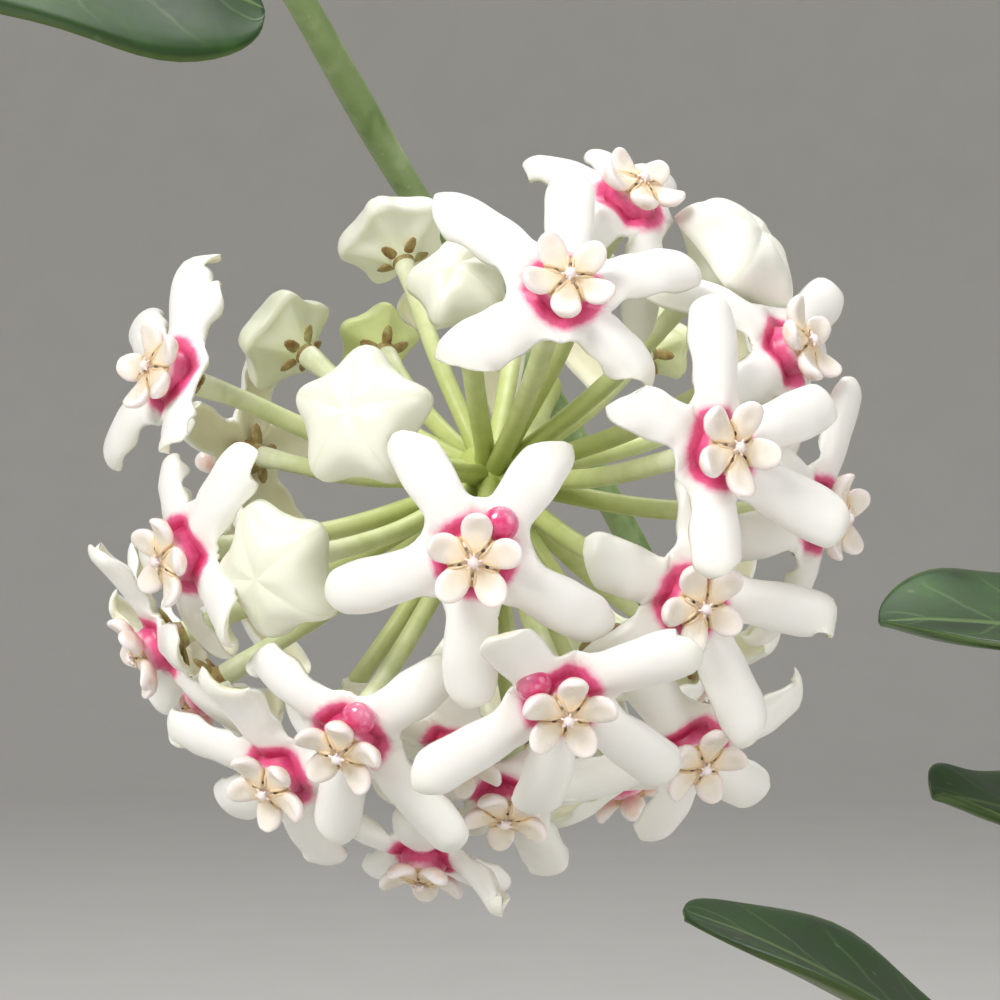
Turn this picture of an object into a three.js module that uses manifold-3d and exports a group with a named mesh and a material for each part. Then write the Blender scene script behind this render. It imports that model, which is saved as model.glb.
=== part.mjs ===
// Potted wax vine carrying one ball-shaped umbel of white, star-shaped flowers.
// Units are millimetres, +Z is up, and the origin is the centre of the underside of the pot.
import Module from 'manifold-3d';
import * as THREE from 'three';
import { mergeVertices } from 'three/addons/utils/BufferGeometryUtils.js';

// Pot and soil
const POT_RIM_DIAMETER = 132;
const POT_BASE_DIAMETER = 92;
const POT_HEIGHT = 116;
const POT_WALL = 5;
const POT_FLOOR = 6;
const RIM_BAND_HEIGHT = 25;
const RIM_BAND_STEP = 4;
const EDGE_ROUNDING = 1.5;
const DRAIN_HOLE_DIAMETER = 9;
const DRAIN_HOLE_RING = 27;
const DRAIN_HOLES = 3;
const ROUND_SEGMENTS = 28;
const SOIL_BELOW_RIM = 14;
const SOIL_CROWN = 3;
const SOIL_LUMP = 1.1;
const STEM_HOLE_DEPTH = 26;
const STEM_HOLE_CLEARANCE = 0.5;
const SEAT_GAP = 0.3;

// Umbel
const HUB = new THREE.Vector3(-14, -44, 262);
const HUB_RADIUS = 3.4;
const PEDICEL_ROOT = 1.9;
const UMBEL_RADIUS = 29;
const PEDICEL_DIAMETER = 1.75;
const NECK_LENGTH = 4;
const PEDICEL_BOW = 0.9;
const PEDICEL_SIDES = 5;
const PEDUNCLE_DIAMETER = 3.2;
const PEDUNCLE_SAG = 2.5;
const PEDUNCLE_NODE_PIXEL = [545, 392];
const PEDUNCLE_NODE_DEPTH = 49.6;

// Flower
const PETALS = 5;
const PETAL_LENGTH = 11.8;
const PETAL_SHORTEST = 9;
const PETAL_LONGEST = 13.2;
const PETAL_HALF_WIDTH = 2.15;
const PETAL_THICKNESS = 0.9;
const PETAL_DROP = 2.4;
const PETAL_DROP_POWER = 2.3;
const PETAL_LIFT = 0.5;
const SINUS_RADIUS = 4.1;
const CALYX_DEPTH = 1.9;
const BUD_FOOT_DEPTH = 2.3;
const SINUS_FALL = 0.45;
const TIP_HOOK = 0.7;
const CORONA_RADIUS = 3.5;
const CORONA_HEIGHT = 3;
const CORONA_NECK_RADIUS = 1.7;
const BUD_WIDTH = 9.6;
const BUD_HEIGHT = 6;

// Vine
const STEM_DIAMETER = 3.6;
const STEM_TIP_DIAMETER = 2.9;
const STEM_SIDES = 6;
const STEM_STEP = 9;
const LEAF_THICKNESS = 1.6;
const PETIOLE_DIAMETER = 2.6;
const PETIOLE_LENGTH = 9;
const LEAF_ARCH = 0.1;

// The photograph's frame: the model's view axis is +Y and the hub lies this far from the lens
const VIEW_DISTANCE = 200;
const FOCAL_PIXELS = 2400;
const FRAME_MIDDLE = 500;
const HUB_PIXEL = [490, 480];

const COLOURS = {
  pot: 0xb5663f,
  soil: 0x3b2a1e,
  stem: 0x688050,
  pedicel: 0x9aa45e,
  leaf: 0x2c4a1c,
  petal: 0xf4f1e6,
  bud: 0xeef0d8,
};
const UP = new THREE.Vector3(0, 0, 1);
const TOWARD_VIEWER = new THREE.Vector3(0, -1, 0);

// Open flowers: the photograph's pixel at the middle of the corolla, the roll of the first
// petal from the image's right, any petal tips that show, and the distance from the hub.
const OPEN_FLOWERS = [
  { name: 'bloom_front', at: [475, 555], radius: 31,
    tips: [[568, 440], [400, 425], [315, 600], [468, 715], [620, 640]] },
  { name: 'bloom_top', at: [563, 292], radius: 30,
    tips: [[705, 262], [575, 148], [428, 183], [450, 372], [650, 390]] },
  { name: 'bloom_right', at: [718, 450], radius: 31,
    tips: [[845, 393], [708, 290], [613, 398], [697, 578], [835, 545]] },
  { name: 'bloom_low', at: [562, 700], radius: 31.5,
    tips: [[689, 620], [487, 604], [400, 755], [535, 862], [700, 780]] },
  { name: 'bloom_low_left', at: [350, 735], radius: 31,
    tips: [[437, 683], [248, 638], [210, 755], [335, 866], [475, 835]] },
  { name: 'bloom_low_right', at: [690, 600], roll: 5, radius: 27.5,
    lean: [-0.15, -0.15, 0.1],
    tips: [[850, 612], null, [610, 560], null, [745, 728]],
    drops: [-1.2, null, null, null, null] },
  { name: 'bloom_right_high', at: [785, 352], roll: 74, radius: 29,
    tips: [[800, 262], null, null, null, [850, 345]] },
  { name: 'bloom_far_right', at: [818, 515], roll: 350, radius: 29.5,
    drops: [null, -1, null, 5, 5] },
  { name: 'bloom_top_right', at: [630, 203], roll: 9, radius: 27.5,
    lean: [0.1, -0.25, 0.1],
    tips: [[672, 150], [600, 150], [520, 155], null, null],
    drops: [3, null, null, null, null] },
  { name: 'bloom_right_low', at: [692, 750], roll: 340, radius: 29.5,
    lean: [-0.1, -0.45, 0.1],
    tips: [[778, 808], [812, 697], null, null, null] },
  { name: 'bloom_low_behind', at: [622, 775], roll: 12, radius: 29.5, behind: true },
  { name: 'bloom_left_low', at: [280, 775], roll: 25, radius: 31,
    lean: [0, -0.4, 0.15],
    tips: [null, null, null, [222, 812], [330, 872]] },
  { name: 'bloom_far_left', at: [185, 555], roll: 119, radius: 29.5,
    tips: [[172, 446], null, [190, 668], null, null] },
  { name: 'bloom_left_high', at: [172, 375], roll: 90, radius: 29.5,
    lean: [0.05, -0.2, 0],
    tips: [[209, 243], [138, 310], [95, 462], [205, 470], [205, 340]] },
  { name: 'bloom_left', at: [160, 645], roll: 20, radius: 30.5 },
  { name: 'bloom_bottom', at: [508, 797], roll: 4, radius: 27, drop: 0,
    lean: [-0.15, -0.35, 0.1],
    tips: [null, null, null, null, [570, 900]] },
  { name: 'bloom_bottom_left', at: [425, 856], roll: 90, radius: 31.5, drop: -0.6, length: 9.6,
    lean: [0, -0.2, 0] },
  { name: 'bloom_inner_low', at: [460, 745], roll: 20, radius: 25, drop: 3.5, length: 10.6 },
  { name: 'bloom_back_bottom', at: [520, 740], roll: 36, behind: true },
  { name: 'bloom_back_left_high', at: [245, 455], roll: 10, behind: true },
  { name: 'bloom_back_left', at: [228, 572], roll: 66, behind: true },
  { name: 'bloom_back_left_low', at: [205, 690], roll: 30, radius: 30.5, behind: true },
  { name: 'bloom_back_top', at: [520, 300], roll: 15, behind: true },
  { name: 'bloom_back_right', at: [755, 400], roll: 48, behind: true },
  { name: 'bloom_back_low_right', at: [700, 660], roll: 33, behind: true },
];

// Closed buds: pixel, size against the full bud, roll of a corner
const BUDS = [
  { name: 'bud_front', at: [365, 420], size: 1.15, roll: 15, radius: 26.5 },
  { name: 'bud_left', at: [285, 568], size: 1.15, roll: 40, radius: 27 },
  { name: 'bud_top_right', at: [727, 262], size: 1.28, roll: 20, radius: 27.3 },
  { name: 'bud_top_left', at: [396, 243], size: 1.1, roll: 0, radius: 27.5, behind: true },
  { name: 'bud_top', at: [462, 288], size: 0.9, roll: 30, radius: 23 },
  { name: 'bud_back_left', at: [288, 342], size: 1.05, roll: 10, radius: 25.5, behind: true },
  { name: 'bud_back', at: [378, 345], size: 0.85, roll: 0, radius: 26, behind: true },
  { name: 'bud_back_right', at: [655, 345], size: 0.8, roll: 25, behind: true },
  { name: 'bud_back_low', at: [600, 640], size: 0.8, roll: 50, behind: true },
];

const wasm = await Module();
wasm.setup();

// A point in the model for a pixel of the photograph, a given depth behind the hub.
function viewPoint([pixelX, pixelY], depth) {
  const distance = VIEW_DISTANCE + depth;
  return new THREE.Vector3(
    LENS.x + ((pixelX - FRAME_MIDDLE) * distance) / FOCAL_PIXELS,
    LENS.y + distance,
    LENS.z - ((pixelY - FRAME_MIDDLE) * distance) / FOCAL_PIXELS,
  );
}

const LENS = new THREE.Vector3(
  HUB.x - ((HUB_PIXEL[0] - FRAME_MIDDLE) * VIEW_DISTANCE) / FOCAL_PIXELS,
  HUB.y - VIEW_DISTANCE,
  HUB.z + ((HUB_PIXEL[1] - FRAME_MIDDLE) * VIEW_DISTANCE) / FOCAL_PIXELS,
);

// Where a pixel's line of sight meets a sphere about the hub, or comes nearest to it.
function onUmbel(pixel, radius, behind = false) {
  const ray = viewPoint(pixel, 0).sub(LENS).normalize();
  const along = HUB.clone().sub(LENS).dot(ray);
  const nearest = LENS.clone().addScaledVector(ray, along);
  const halfChordSquared = radius * radius - nearest.distanceToSquared(HUB);
  if (halfChordSquared <= 0) {
    return nearest.sub(HUB).setLength(radius).add(HUB);
  }
  const halfChord = Math.sqrt(halfChordSquared);
  return nearest.addScaledVector(ray, behind ? halfChord : -halfChord);
}

// A closed skin collected point by point, and turned outwards when it is finished.
class Skin {
  constructor() {
    this.points = [];
    this.faces = [];
  }

  point(vector) {
    this.points.push(vector.clone());
    return this.points.length - 1;
  }

  ring(vectors) {
    return vectors.map((vector) => this.point(vector));
  }

  fan(apex, ring) {
    for (let i = 0; i < ring.length; i += 1) {
      this.faces.push([apex, ring[i], ring[(i + 1) % ring.length]]);
    }
  }

  // Quads between two rings. From the column "mirrored" on, the diagonal is turned, so that the
  // two sides of a thin blade are split alike.
  band(lower, upper, mirrored = Infinity) {
    for (let i = 0; i < lower.length; i += 1) {
      const next = (i + 1) % lower.length;
      const [a, b, c, d] = [lower[i], lower[next], upper[next], upper[i]];
      if (i < mirrored) {
        this.faces.push([a, b, c], [a, c, d]);
      } else {
        this.faces.push([a, b, d], [b, c, d]);
      }
    }
  }

  geometry() {
    let volume = 0;
    for (const [a, b, c] of this.faces) {
      const cross = this.points[b].clone().cross(this.points[c]);
      volume += this.points[a].dot(cross);
    }
    const faces = volume < 0 ? this.faces.map(([a, b, c]) => [a, c, b]) : this.faces;
    const geometry = new THREE.BufferGeometry();
    const positions = this.points.flatMap((point) => point.toArray());
    geometry.setAttribute('position', new THREE.Float32BufferAttribute(positions, 3));
    geometry.setIndex(faces.flat());
    return geometry;
  }
}

function toManifold(geometry) {
  const bare = geometry.clone();
  bare.deleteAttribute('normal');
  bare.deleteAttribute('uv');
  const merged = mergeVertices(bare, 1e-4);
  return new wasm.Manifold(new wasm.Mesh({
    numProp: 3,
    vertProperties: new Float32Array(merged.attributes.position.array),
    triVerts: new Uint32Array(merged.index.array),
  }));
}

function fromManifold(solid) {
  const { vertProperties, triVerts } = solid.getMesh();
  const geometry = new THREE.BufferGeometry();
  geometry.setAttribute('position', new THREE.BufferAttribute(vertProperties, 3));
  geometry.setIndex(new THREE.BufferAttribute(triVerts, 1));
  return geometry;
}

const plant = new THREE.Group();

function addPiece(name, geometry, colour, roughness) {
  geometry.computeVertexNormals();
  const material = new THREE.MeshStandardMaterial({ color: colour, roughness, metalness: 0 });
  const mesh = new THREE.Mesh(geometry, material);
  mesh.name = name;
  plant.add(mesh);
}

// A round stalk along a curve; its radius is a function of the share of the length covered.
function stalkGeometry(curve, radiusAt, sides, steps) {
  const skin = new Skin();
  const frames = curve.computeFrenetFrames(steps);
  const rings = [];
  for (let i = 0; i <= steps; i += 1) {
    const share = i / steps;
    const middle = curve.getPointAt(share);
    const ring = [];
    for (let side = 0; side < sides; side += 1) {
      const angle = (side / sides) * Math.PI * 2;
      ring.push(middle.clone()
        .addScaledVector(frames.normals[i], Math.cos(angle) * radiusAt(share))
        .addScaledVector(frames.binormals[i], Math.sin(angle) * radiusAt(share)));
    }
    rings.push(skin.ring(ring));
  }
  rings.slice(1).forEach((ring, i) => skin.band(rings[i], ring));
  skin.fan(skin.point(curve.getPointAt(0)), [...rings[0]].reverse());
  skin.fan(skin.point(curve.getPointAt(1)), rings[steps]);
  return skin.geometry();
}

// Pot: one turned profile with a rim band, and drain holes through the floor
const soilTop = POT_HEIGHT - SOIL_BELOW_RIM;
const rimRadius = POT_RIM_DIAMETER / 2;
const baseRadius = POT_BASE_DIAMETER / 2;
const bandBottom = POT_HEIGHT - RIM_BAND_HEIGHT;
const wallTopRadius = rimRadius - RIM_BAND_STEP;
const wallSlope = (wallTopRadius - baseRadius) / bandBottom;
const innerRadiusAt = (height) => baseRadius + wallSlope * height - POT_WALL;

function potGeometry() {
  const r = EDGE_ROUNDING;
  const profile = [
    [0, 0], [baseRadius - r, 0], [baseRadius, r], [wallTopRadius, bandBottom],
    [rimRadius - r, bandBottom], [rimRadius, bandBottom + r],
    [rimRadius, POT_HEIGHT - r], [rimRadius - r, POT_HEIGHT],
    [innerRadiusAt(POT_HEIGHT) + r, POT_HEIGHT], [innerRadiusAt(POT_HEIGHT), POT_HEIGHT - r],
    [innerRadiusAt(POT_FLOOR), POT_FLOOR], [0, POT_FLOOR],
  ];
  const outline = profile.map(([radius, height]) => new THREE.Vector2(radius, height));
  const turned = new THREE.LatheGeometry(outline, ROUND_SEGMENTS).rotateX(Math.PI / 2);
  let pot = toManifold(turned);
  for (let i = 0; i < DRAIN_HOLES; i += 1) {
    const angle = (i / DRAIN_HOLES) * Math.PI * 2;
    const radius = DRAIN_HOLE_DIAMETER / 2;
    const drill = new THREE.CylinderGeometry(radius, radius, POT_FLOOR * 3, 12);
    drill.rotateX(Math.PI / 2);
    drill.translate(DRAIN_HOLE_RING * Math.cos(angle), DRAIN_HOLE_RING * Math.sin(angle), 0);
    pot = pot.subtract(toManifold(drill));
  }
  return fromManifold(pot);
}

// Soil: fills the pot, slightly crowned and lumpy, with a plain hole for each stem
function soilGeometry(stemFeet) {
  const bottom = POT_FLOOR + SEAT_GAP;
  const edge = innerRadiusAt(soilTop) - SEAT_GAP;
  const outline = [
    [0, bottom], [innerRadiusAt(bottom) - SEAT_GAP, bottom], [edge, soilTop],
    [edge * 0.72, soilTop + SOIL_CROWN * 0.5], [edge * 0.42, soilTop + SOIL_CROWN * 0.8],
    [0, soilTop + SOIL_CROWN],
  ].map(([radius, height]) => new THREE.Vector2(radius, height));
  const turned = new THREE.LatheGeometry(outline, ROUND_SEGMENTS).rotateX(Math.PI / 2);
  const positions = turned.attributes.position;
  for (let i = 0; i < positions.count; i += 1) {
    const [x, y, z] = [positions.getX(i), positions.getY(i), positions.getZ(i)];
    const reach = Math.hypot(x, y) / edge;
    if (z > soilTop - 1 && reach < 0.9 && reach > 0.01) {
      positions.setZ(i, z + SOIL_LUMP * Math.sin(0.31 * x + 1.3) * Math.cos(0.37 * y - 0.6));
    }
  }
  let soil = toManifold(turned);
  for (const foot of stemFeet) {
    const radius = STEM_DIAMETER / 2 + STEM_HOLE_CLEARANCE;
    const drill = new THREE.CylinderGeometry(radius, radius, STEM_HOLE_DEPTH * 2, 12);
    drill.rotateX(Math.PI / 2).translate(foot.x, foot.y, soilTop);
    soil = soil.subtract(toManifold(drill));
  }
  return fromManifold(soil);
}

// Vines: the named points that each stem passes, from its foot in the soil to its tip.
// "beside" gives a point by its offset from the hub: right, away from the viewer, up.
const beside = (right, away, up) => HUB.clone().add(new THREE.Vector3(right, away, up));
const stemFoot = (x, y) => [
  new THREE.Vector3(x, y, soilTop - STEM_HOLE_DEPTH + SEAT_GAP),
  new THREE.Vector3(x, y, soilTop - STEM_HOLE_DEPTH / 2),
  new THREE.Vector3(x, y, soilTop + SOIL_CROWN * 2),
  new THREE.Vector3(x, y, soilTop + SOIL_CROWN * 5),
];
const VINES = [
  { name: 'vine_flowering',
    through: [
      ...stemFoot(-18, -8), beside(-14, 29, -118), beside(-42, 17, -78), beside(-66, 4, -28),
      beside(-79, -8, 20), beside(-77, -19, 58), beside(-60, -21, 81), beside(-43, -8, 79),
      beside(-30, 9, 64.5), viewPoint([300, 0], 27), viewPoint([410, 190], 44),
      viewPoint([560, 415], 50), viewPoint([628, 535], 53), viewPoint([690, 665], 56),
      viewPoint([708, 712], 57),
    ] },
  { name: 'vine_right',
    through: [
      ...stemFoot(20, 10), beside(52, 55, -122), beside(78, 60, -80), beside(95, 62, -34),
      beside(99, 62, 8), beside(95, 58, 46), beside(84, 50, 80), beside(68, 40, 104),
    ] },
  { name: 'vine_back',
    through: [
      ...stemFoot(-8, 24), beside(-6, 92, -124), beside(-28, 116, -104), beside(-56, 132, -98),
      beside(-82, 138, -112), beside(-96, 138, -134),
    ] },
  { name: 'vine_front',
    through: [
      ...stemFoot(16, -22), beside(38, 10, -124), beside(50, -16, -112), beside(58, -42, -118),
      beside(62, -58, -138), beside(64, -64, -162),
    ] },
];
for (const vine of VINES) {
  vine.curve = new THREE.CatmullRomCurve3(vine.through, false, 'centripetal');
}

const stemRadiusAt = (share) => THREE.MathUtils.lerp(STEM_DIAMETER, STEM_TIP_DIAMETER, share) / 2;

function stemGeometry({ curve }) {
  const steps = Math.round(curve.getLength() / STEM_STEP);
  return stalkGeometry(curve, stemRadiusAt, STEM_SIDES, steps);
}

// Leaves: each grows from a share of a vine's length and reaches a tip point.
// "face" is where its upper side looks, and "width" is its full width.
const LEAVES = [
  { name: 'leaf_flowering_top', on: 0, share: 0.575, tip: viewPoint([264, 10], 12),
    face: [0.2, -0.78, 0.6], width: 34, arch: 0.02 },
  { name: 'leaf_flowering_high', on: 0, share: 0.55, tip: beside(-118, -48, 84),
    face: [-0.2, -0.3, 0.9], width: 40 },
  { name: 'leaf_flowering_mid', on: 0, share: 0.36, tip: beside(-122, -26, -42),
    face: [-0.3, -0.4, 0.85], width: 46 },
  { name: 'leaf_flowering_mid_back', on: 0, share: 0.36, tip: beside(-100, 62, -16),
    face: [-0.6, 0.2, 0.8], width: 44 },
  { name: 'leaf_flowering_low', on: 0, share: 0.2, tip: beside(-70, -30, -122),
    face: [-0.2, -0.5, 0.85], width: 48 },
  { name: 'leaf_right_low', on: 1, share: 0.34, tip: viewPoint([685, 912], 50),
    face: [-0.15, -0.1, 0.98], width: 40 },
  { name: 'leaf_right_low_outer', on: 1, share: 0.34, tip: beside(142, 90, -94),
    face: [0.3, 0.1, 0.9], width: 46 },
  { name: 'leaf_right_mid', on: 1, share: 0.48, tip: viewPoint([934, 796], 50),
    face: [-0.1, -0.16, 0.98], width: 36, arch: 0.04 },
  { name: 'leaf_right_mid_outer', on: 1, share: 0.48, tip: beside(152, 34, -34),
    face: [0.3, -0.3, 0.9], width: 42 },
  { name: 'leaf_right_high', on: 1, share: 0.56, tip: viewPoint([880, 622], 58),
    face: [-0.1, -0.22, 0.97], width: 38, arch: 0.05 },
  { name: 'leaf_right_high_outer', on: 1, share: 0.62, tip: beside(148, 92, 38),
    face: [0.2, 0.2, 0.95], width: 42 },
  { name: 'leaf_right_upper', on: 1, share: 0.8, tip: beside(136, 14, 78),
    face: [0.3, -0.2, 0.92], width: 36 },
  { name: 'leaf_right_top', on: 1, share: 0.95, tip: beside(84, -2, 130),
    face: [-0.3, -0.2, 0.92], width: 28 },
  { name: 'leaf_back_low', on: 2, share: 0.45, tip: beside(22, 156, -98),
    face: [0.1, 0.2, 0.95], width: 48 },
  { name: 'leaf_back_mid', on: 2, share: 0.62, tip: beside(-70, 82, -84),
    face: [-0.1, -0.1, 0.97], width: 46 },
  { name: 'leaf_back_end', on: 2, share: 0.93, tip: beside(-132, 108, -152),
    face: [-0.6, -0.2, 0.75], width: 40 },
  { name: 'leaf_front_low', on: 3, share: 0.48, tip: beside(0, -44, -114),
    face: [-0.1, -0.3, 0.94], width: 46 },
  { name: 'leaf_front_mid', on: 3, share: 0.62, tip: beside(112, -50, -118),
    face: [0.2, -0.2, 0.95], width: 44 },
  { name: 'leaf_front_end', on: 3, share: 0.9, tip: beside(32, -98, -178),
    face: [-0.2, -0.85, 0.5], width: 38 },
];

// Half width of the blade at a share of its length: broadest past the middle, rounded end
function bladeOutline(share) {
  const skewed = share ** 0.88;
  return (1 - Math.abs(2 * skewed - 1) ** 2.4) ** 0.52;
}

function leafGeometry(leaf) {
  const vine = VINES[leaf.on];
  const node = vine.curve.getPointAt(leaf.share);
  const tangent = vine.curve.getTangentAt(leaf.share);
  const outward = leaf.tip.clone().sub(node);
  const sideways = outward.clone().addScaledVector(tangent, -outward.dot(tangent)).normalize();
  const lean = Math.abs(outward.normalize().dot(tangent));
  const seat = stemRadiusAt(leaf.share) + SEAT_GAP + (lean * PETIOLE_DIAMETER) / 2;
  const root = node.addScaledVector(sideways, seat);
  const axis = leaf.tip.clone().sub(root);
  const length = axis.length();
  axis.normalize();
  const upward = new THREE.Vector3(...leaf.face);
  upward.addScaledVector(axis, -upward.dot(axis)).normalize();
  const across = upward.clone().cross(axis);
  const petioleShare = PETIOLE_LENGTH / length;
  const arch = length * (leaf.arch ?? LEAF_ARCH);
  const skin = new Skin();
  const middleAt = (share) => root.clone().addScaledVector(axis, share * length)
    .addScaledVector(upward, arch * Math.sin(Math.PI * share));
  const ringAt = (share, halfWidth, rise, halfThickness) => {
    const corners = [
      [-1, rise, 0], [-0.55, rise * 0.4, 1], [0, 0, 0.8], [0.55, rise * 0.4, 1],
      [1, rise, 0], [0.55, rise * 0.4, -1], [0, 0, -1.3], [-0.55, rise * 0.4, -1],
    ];
    const middle = middleAt(share);
    return skin.ring(corners.map(([side, lift, layer]) => middle.clone()
      .addScaledVector(across, side * halfWidth)
      .addScaledVector(upward, lift + layer * halfThickness)));
  };
  const rings = [];
  const petioleRadius = PETIOLE_DIAMETER / 2;
  rings.push(ringAt(0, petioleRadius, 0, petioleRadius * 0.8));
  rings.push(ringAt(petioleShare, petioleRadius, 0, petioleRadius * 0.8));
  for (const share of [0.05, 0.17, 0.34, 0.53, 0.72, 0.87, 0.955]) {
    const halfWidth = (leaf.width / 2) * bladeOutline(share);
    const wave = 0.5 * Math.sin(share * 9 + leaf.width);
    const along = THREE.MathUtils.lerp(petioleShare, 1, share);
    rings.push(ringAt(along, halfWidth, halfWidth * 0.14 + wave, LEAF_THICKNESS / 2));
  }
  const halfRing = rings[0].length / 2;
  rings.slice(1).forEach((ring, i) => skin.band(rings[i], ring, halfRing));
  skin.fan(skin.point(middleAt(0)), [...rings[0]].reverse());
  skin.fan(skin.point(leaf.tip.clone().addScaledVector(axis, 1.5)), rings[rings.length - 1]);
  return skin.geometry();
}

// The frame of a flower or bud: its middle, the way it faces, and two directions across it
function headFrame(head) {
  const radius = head.radius ?? UMBEL_RADIUS;
  const middle = onUmbel(head.at, radius, head.behind);
  const outward = middle.clone().sub(HUB).normalize();
  const lean = new THREE.Vector3(...(head.lean ?? [0, 0, 0]));
  const facing = outward.clone().add(lean).normalize();
  const turn = new THREE.Quaternion().setFromUnitVectors(TOWARD_VIEWER, facing);
  const right = new THREE.Vector3(1, 0, 0).applyQuaternion(turn);
  const top = new THREE.Vector3(0, 0, 1).applyQuaternion(turn);
  return { middle, outward, facing, right, top };
}

// The pedicel rises from inside the hub, bows a little, and ends at the seat under the calyx.
function pedicelCurve(head, { middle, outward, facing, top }) {
  const depth = head.size === undefined ? CALYX_DEPTH : BUD_FOOT_DEPTH * head.size;
  const end = middle.clone().addScaledVector(facing, -depth - SEAT_GAP);
  const from = HUB.clone().addScaledVector(outward, PEDICEL_ROOT);
  const bend = from.clone().lerp(end, 0.5).addScaledVector(top, -PEDICEL_BOW);
  const neck = end.clone().addScaledVector(facing, -NECK_LENGTH);
  return new THREE.CatmullRomCurve3(head.lean ? [from, bend, neck, end] : [from, bend, end]);
}

function petalHeading(head, frame, index) {
  const tipPixel = head.tips?.[index];
  const drop = head.drops?.[index] ?? head.drop ?? PETAL_DROP;
  if (!tipPixel) {
    const roll = THREE.MathUtils.degToRad((head.roll ?? 0) + (index * 360) / PETALS);
    const angle = THREE.MathUtils.euclideanModulo(roll, Math.PI * 2);
    return { angle, length: head.length ?? PETAL_LENGTH, drop };
  }
  const ray = viewPoint(tipPixel, 0).sub(LENS);
  const level = frame.middle.clone().addScaledVector(frame.facing, -drop).sub(LENS);
  const reach = ray.multiplyScalar(level.dot(frame.facing) / ray.dot(frame.facing));
  reach.add(LENS).sub(frame.middle);
  const [x, y] = [reach.dot(frame.right), reach.dot(frame.top)];
  const length = THREE.MathUtils.clamp(Math.hypot(x, y), PETAL_SHORTEST, PETAL_LONGEST);
  const angle = THREE.MathUtils.euclideanModulo(Math.atan2(y, x), Math.PI * 2);
  return { angle, length, drop };
}

// A point on a petal's ridge, at a share of its length
function ridgePoint(frame, petal, share) {
  const height = 4 * PETAL_LIFT * share * (1 - share) - petal.drop * share ** PETAL_DROP_POWER;
  const run = petal.length * share;
  return frame.middle.clone()
    .addScaledVector(frame.right, Math.cos(petal.angle) * run)
    .addScaledVector(frame.top, Math.sin(petal.angle) * run)
    .addScaledVector(frame.facing, height);
}

// Petals bend clear of what already stands in the umbel. Everything there is a row of balls, and
// two balls of petals may lie closer when one is above the other, because petals are flat.
const STANDING = [];
const BEND_TRIALS = [];
for (const sweep of [0, 7, -7, 14, -14, 21, -21]) {
  for (const shrink of [1, 0.88, 0.78]) {
    for (const bend of [0, 1, -1, 2, -2, 3, -3, 4, -4, 5, -5, 6]) {
      BEND_TRIALS.push({ sweep: THREE.MathUtils.degToRad(sweep), shrink, bend });
    }
  }
}
const BALL_SHARES = [0.4, 0.55, 0.7, 0.85, 1];
const PETAL_FLATNESS = 1.9;
const PETAL_BALL = 2.1;
const CLEARANCE = 0.28;

function spareRoom(ball, owner) {
  let least = Infinity;
  for (const other of STANDING) {
    if (other.owner !== owner) {
      const gap = ball.centre.clone().sub(other.centre);
      const outward = ball.centre.clone().add(other.centre).multiplyScalar(0.5).sub(HUB);
      const rise = gap.dot(outward.normalize());
      const flatness = ball.petal && other.petal ? PETAL_FLATNESS : 1;
      const level = Math.max(gap.lengthSq() - rise * rise, 0);
      const apart = Math.sqrt(level + (flatness * rise) ** 2);
      least = Math.min(least, apart - ball.size - other.size - CLEARANCE);
    }
  }
  return least;
}

function petalBalls(frame, petal) {
  return BALL_SHARES.map((share) => ({
    centre: ridgePoint(frame, petal, share).addScaledVector(frame.facing, -PETAL_THICKNESS * 0.7),
    size: PETAL_BALL * (share > 0.9 ? 0.6 : 1),
    petal: true,
  }));
}

function bentClear(head, frame, natural) {
  let best = null;
  let bestRoom = -Infinity;
  for (const { sweep, shrink, bend } of BEND_TRIALS) {
    const petal = {
      angle: natural.angle + sweep,
      length: natural.length * shrink,
      drop: natural.drop + bend,
    };
    const room = Math.min(...petalBalls(frame, petal).map((ball) => spareRoom(ball, head.name)));
    if (room > 0) {
      return petal;
    }
    if (room > bestRoom) {
      [best, bestRoom] = [petal, room];
    }
  }
  return best;
}

const heads = [...OPEN_FLOWERS, ...BUDS].map((head) => {
  const frame = headFrame(head);
  return { ...head, frame, isBud: head.size !== undefined, pedicel: pedicelCurve(head, frame) };
});
for (const { name, frame, isBud, size, pedicel } of heads) {
  const owner = name;
  const { middle, facing } = frame;
  if (isBud) {
    STANDING.push({ owner, centre: middle, size: (BUD_WIDTH / 2) * size, petal: true });
  } else {
    const corona = middle.clone().addScaledVector(facing, CORONA_HEIGHT * 0.6);
    STANDING.push({ owner, centre: corona, size: CORONA_RADIUS });
    STANDING.push({ owner, centre: middle, size: SINUS_RADIUS, petal: true });
  }
  for (let share = 0.3; share <= 1; share += 0.1) {
    STANDING.push({ owner, centre: pedicel.getPointAt(share), size: PEDICEL_DIAMETER / 2 });
  }
}
for (const head of heads.filter(({ isBud }) => !isBud)) {
  head.petals = [];
  for (let index = 0; index < PETALS; index += 1) {
    const petal = bentClear(head, head.frame, petalHeading(head, head.frame, index));
    head.petals.push(petal);
    for (const ball of petalBalls(head.frame, petal)) {
      STANDING.push({ ...ball, owner: head.name });
    }
  }
}

// Rings across a petal: share of its length, half width and how far its edges roll back
const PETAL_RINGS = [
  { share: 0.5, halfWidth: 1, roll: 1.35 },
  { share: 0.71, halfWidth: 0.97, roll: 1.45 },
  { share: 0.9, halfWidth: 0.82, roll: 1.1 },
];
// Rings up the corona: radius and height at the notch, the lobe's side and the lobe's end
const CORONA_RINGS = [
  { notch: [1, 0.05], side: [1, 0.05], end: [1, 0.05] },
  { notch: [0.8, 0.5], side: [1.45, 0.52], end: [1.95, 0.66] },
  { notch: [0.7, 0.68], side: [1.6, 0.88], end: [2.06, 1] },
];

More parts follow.
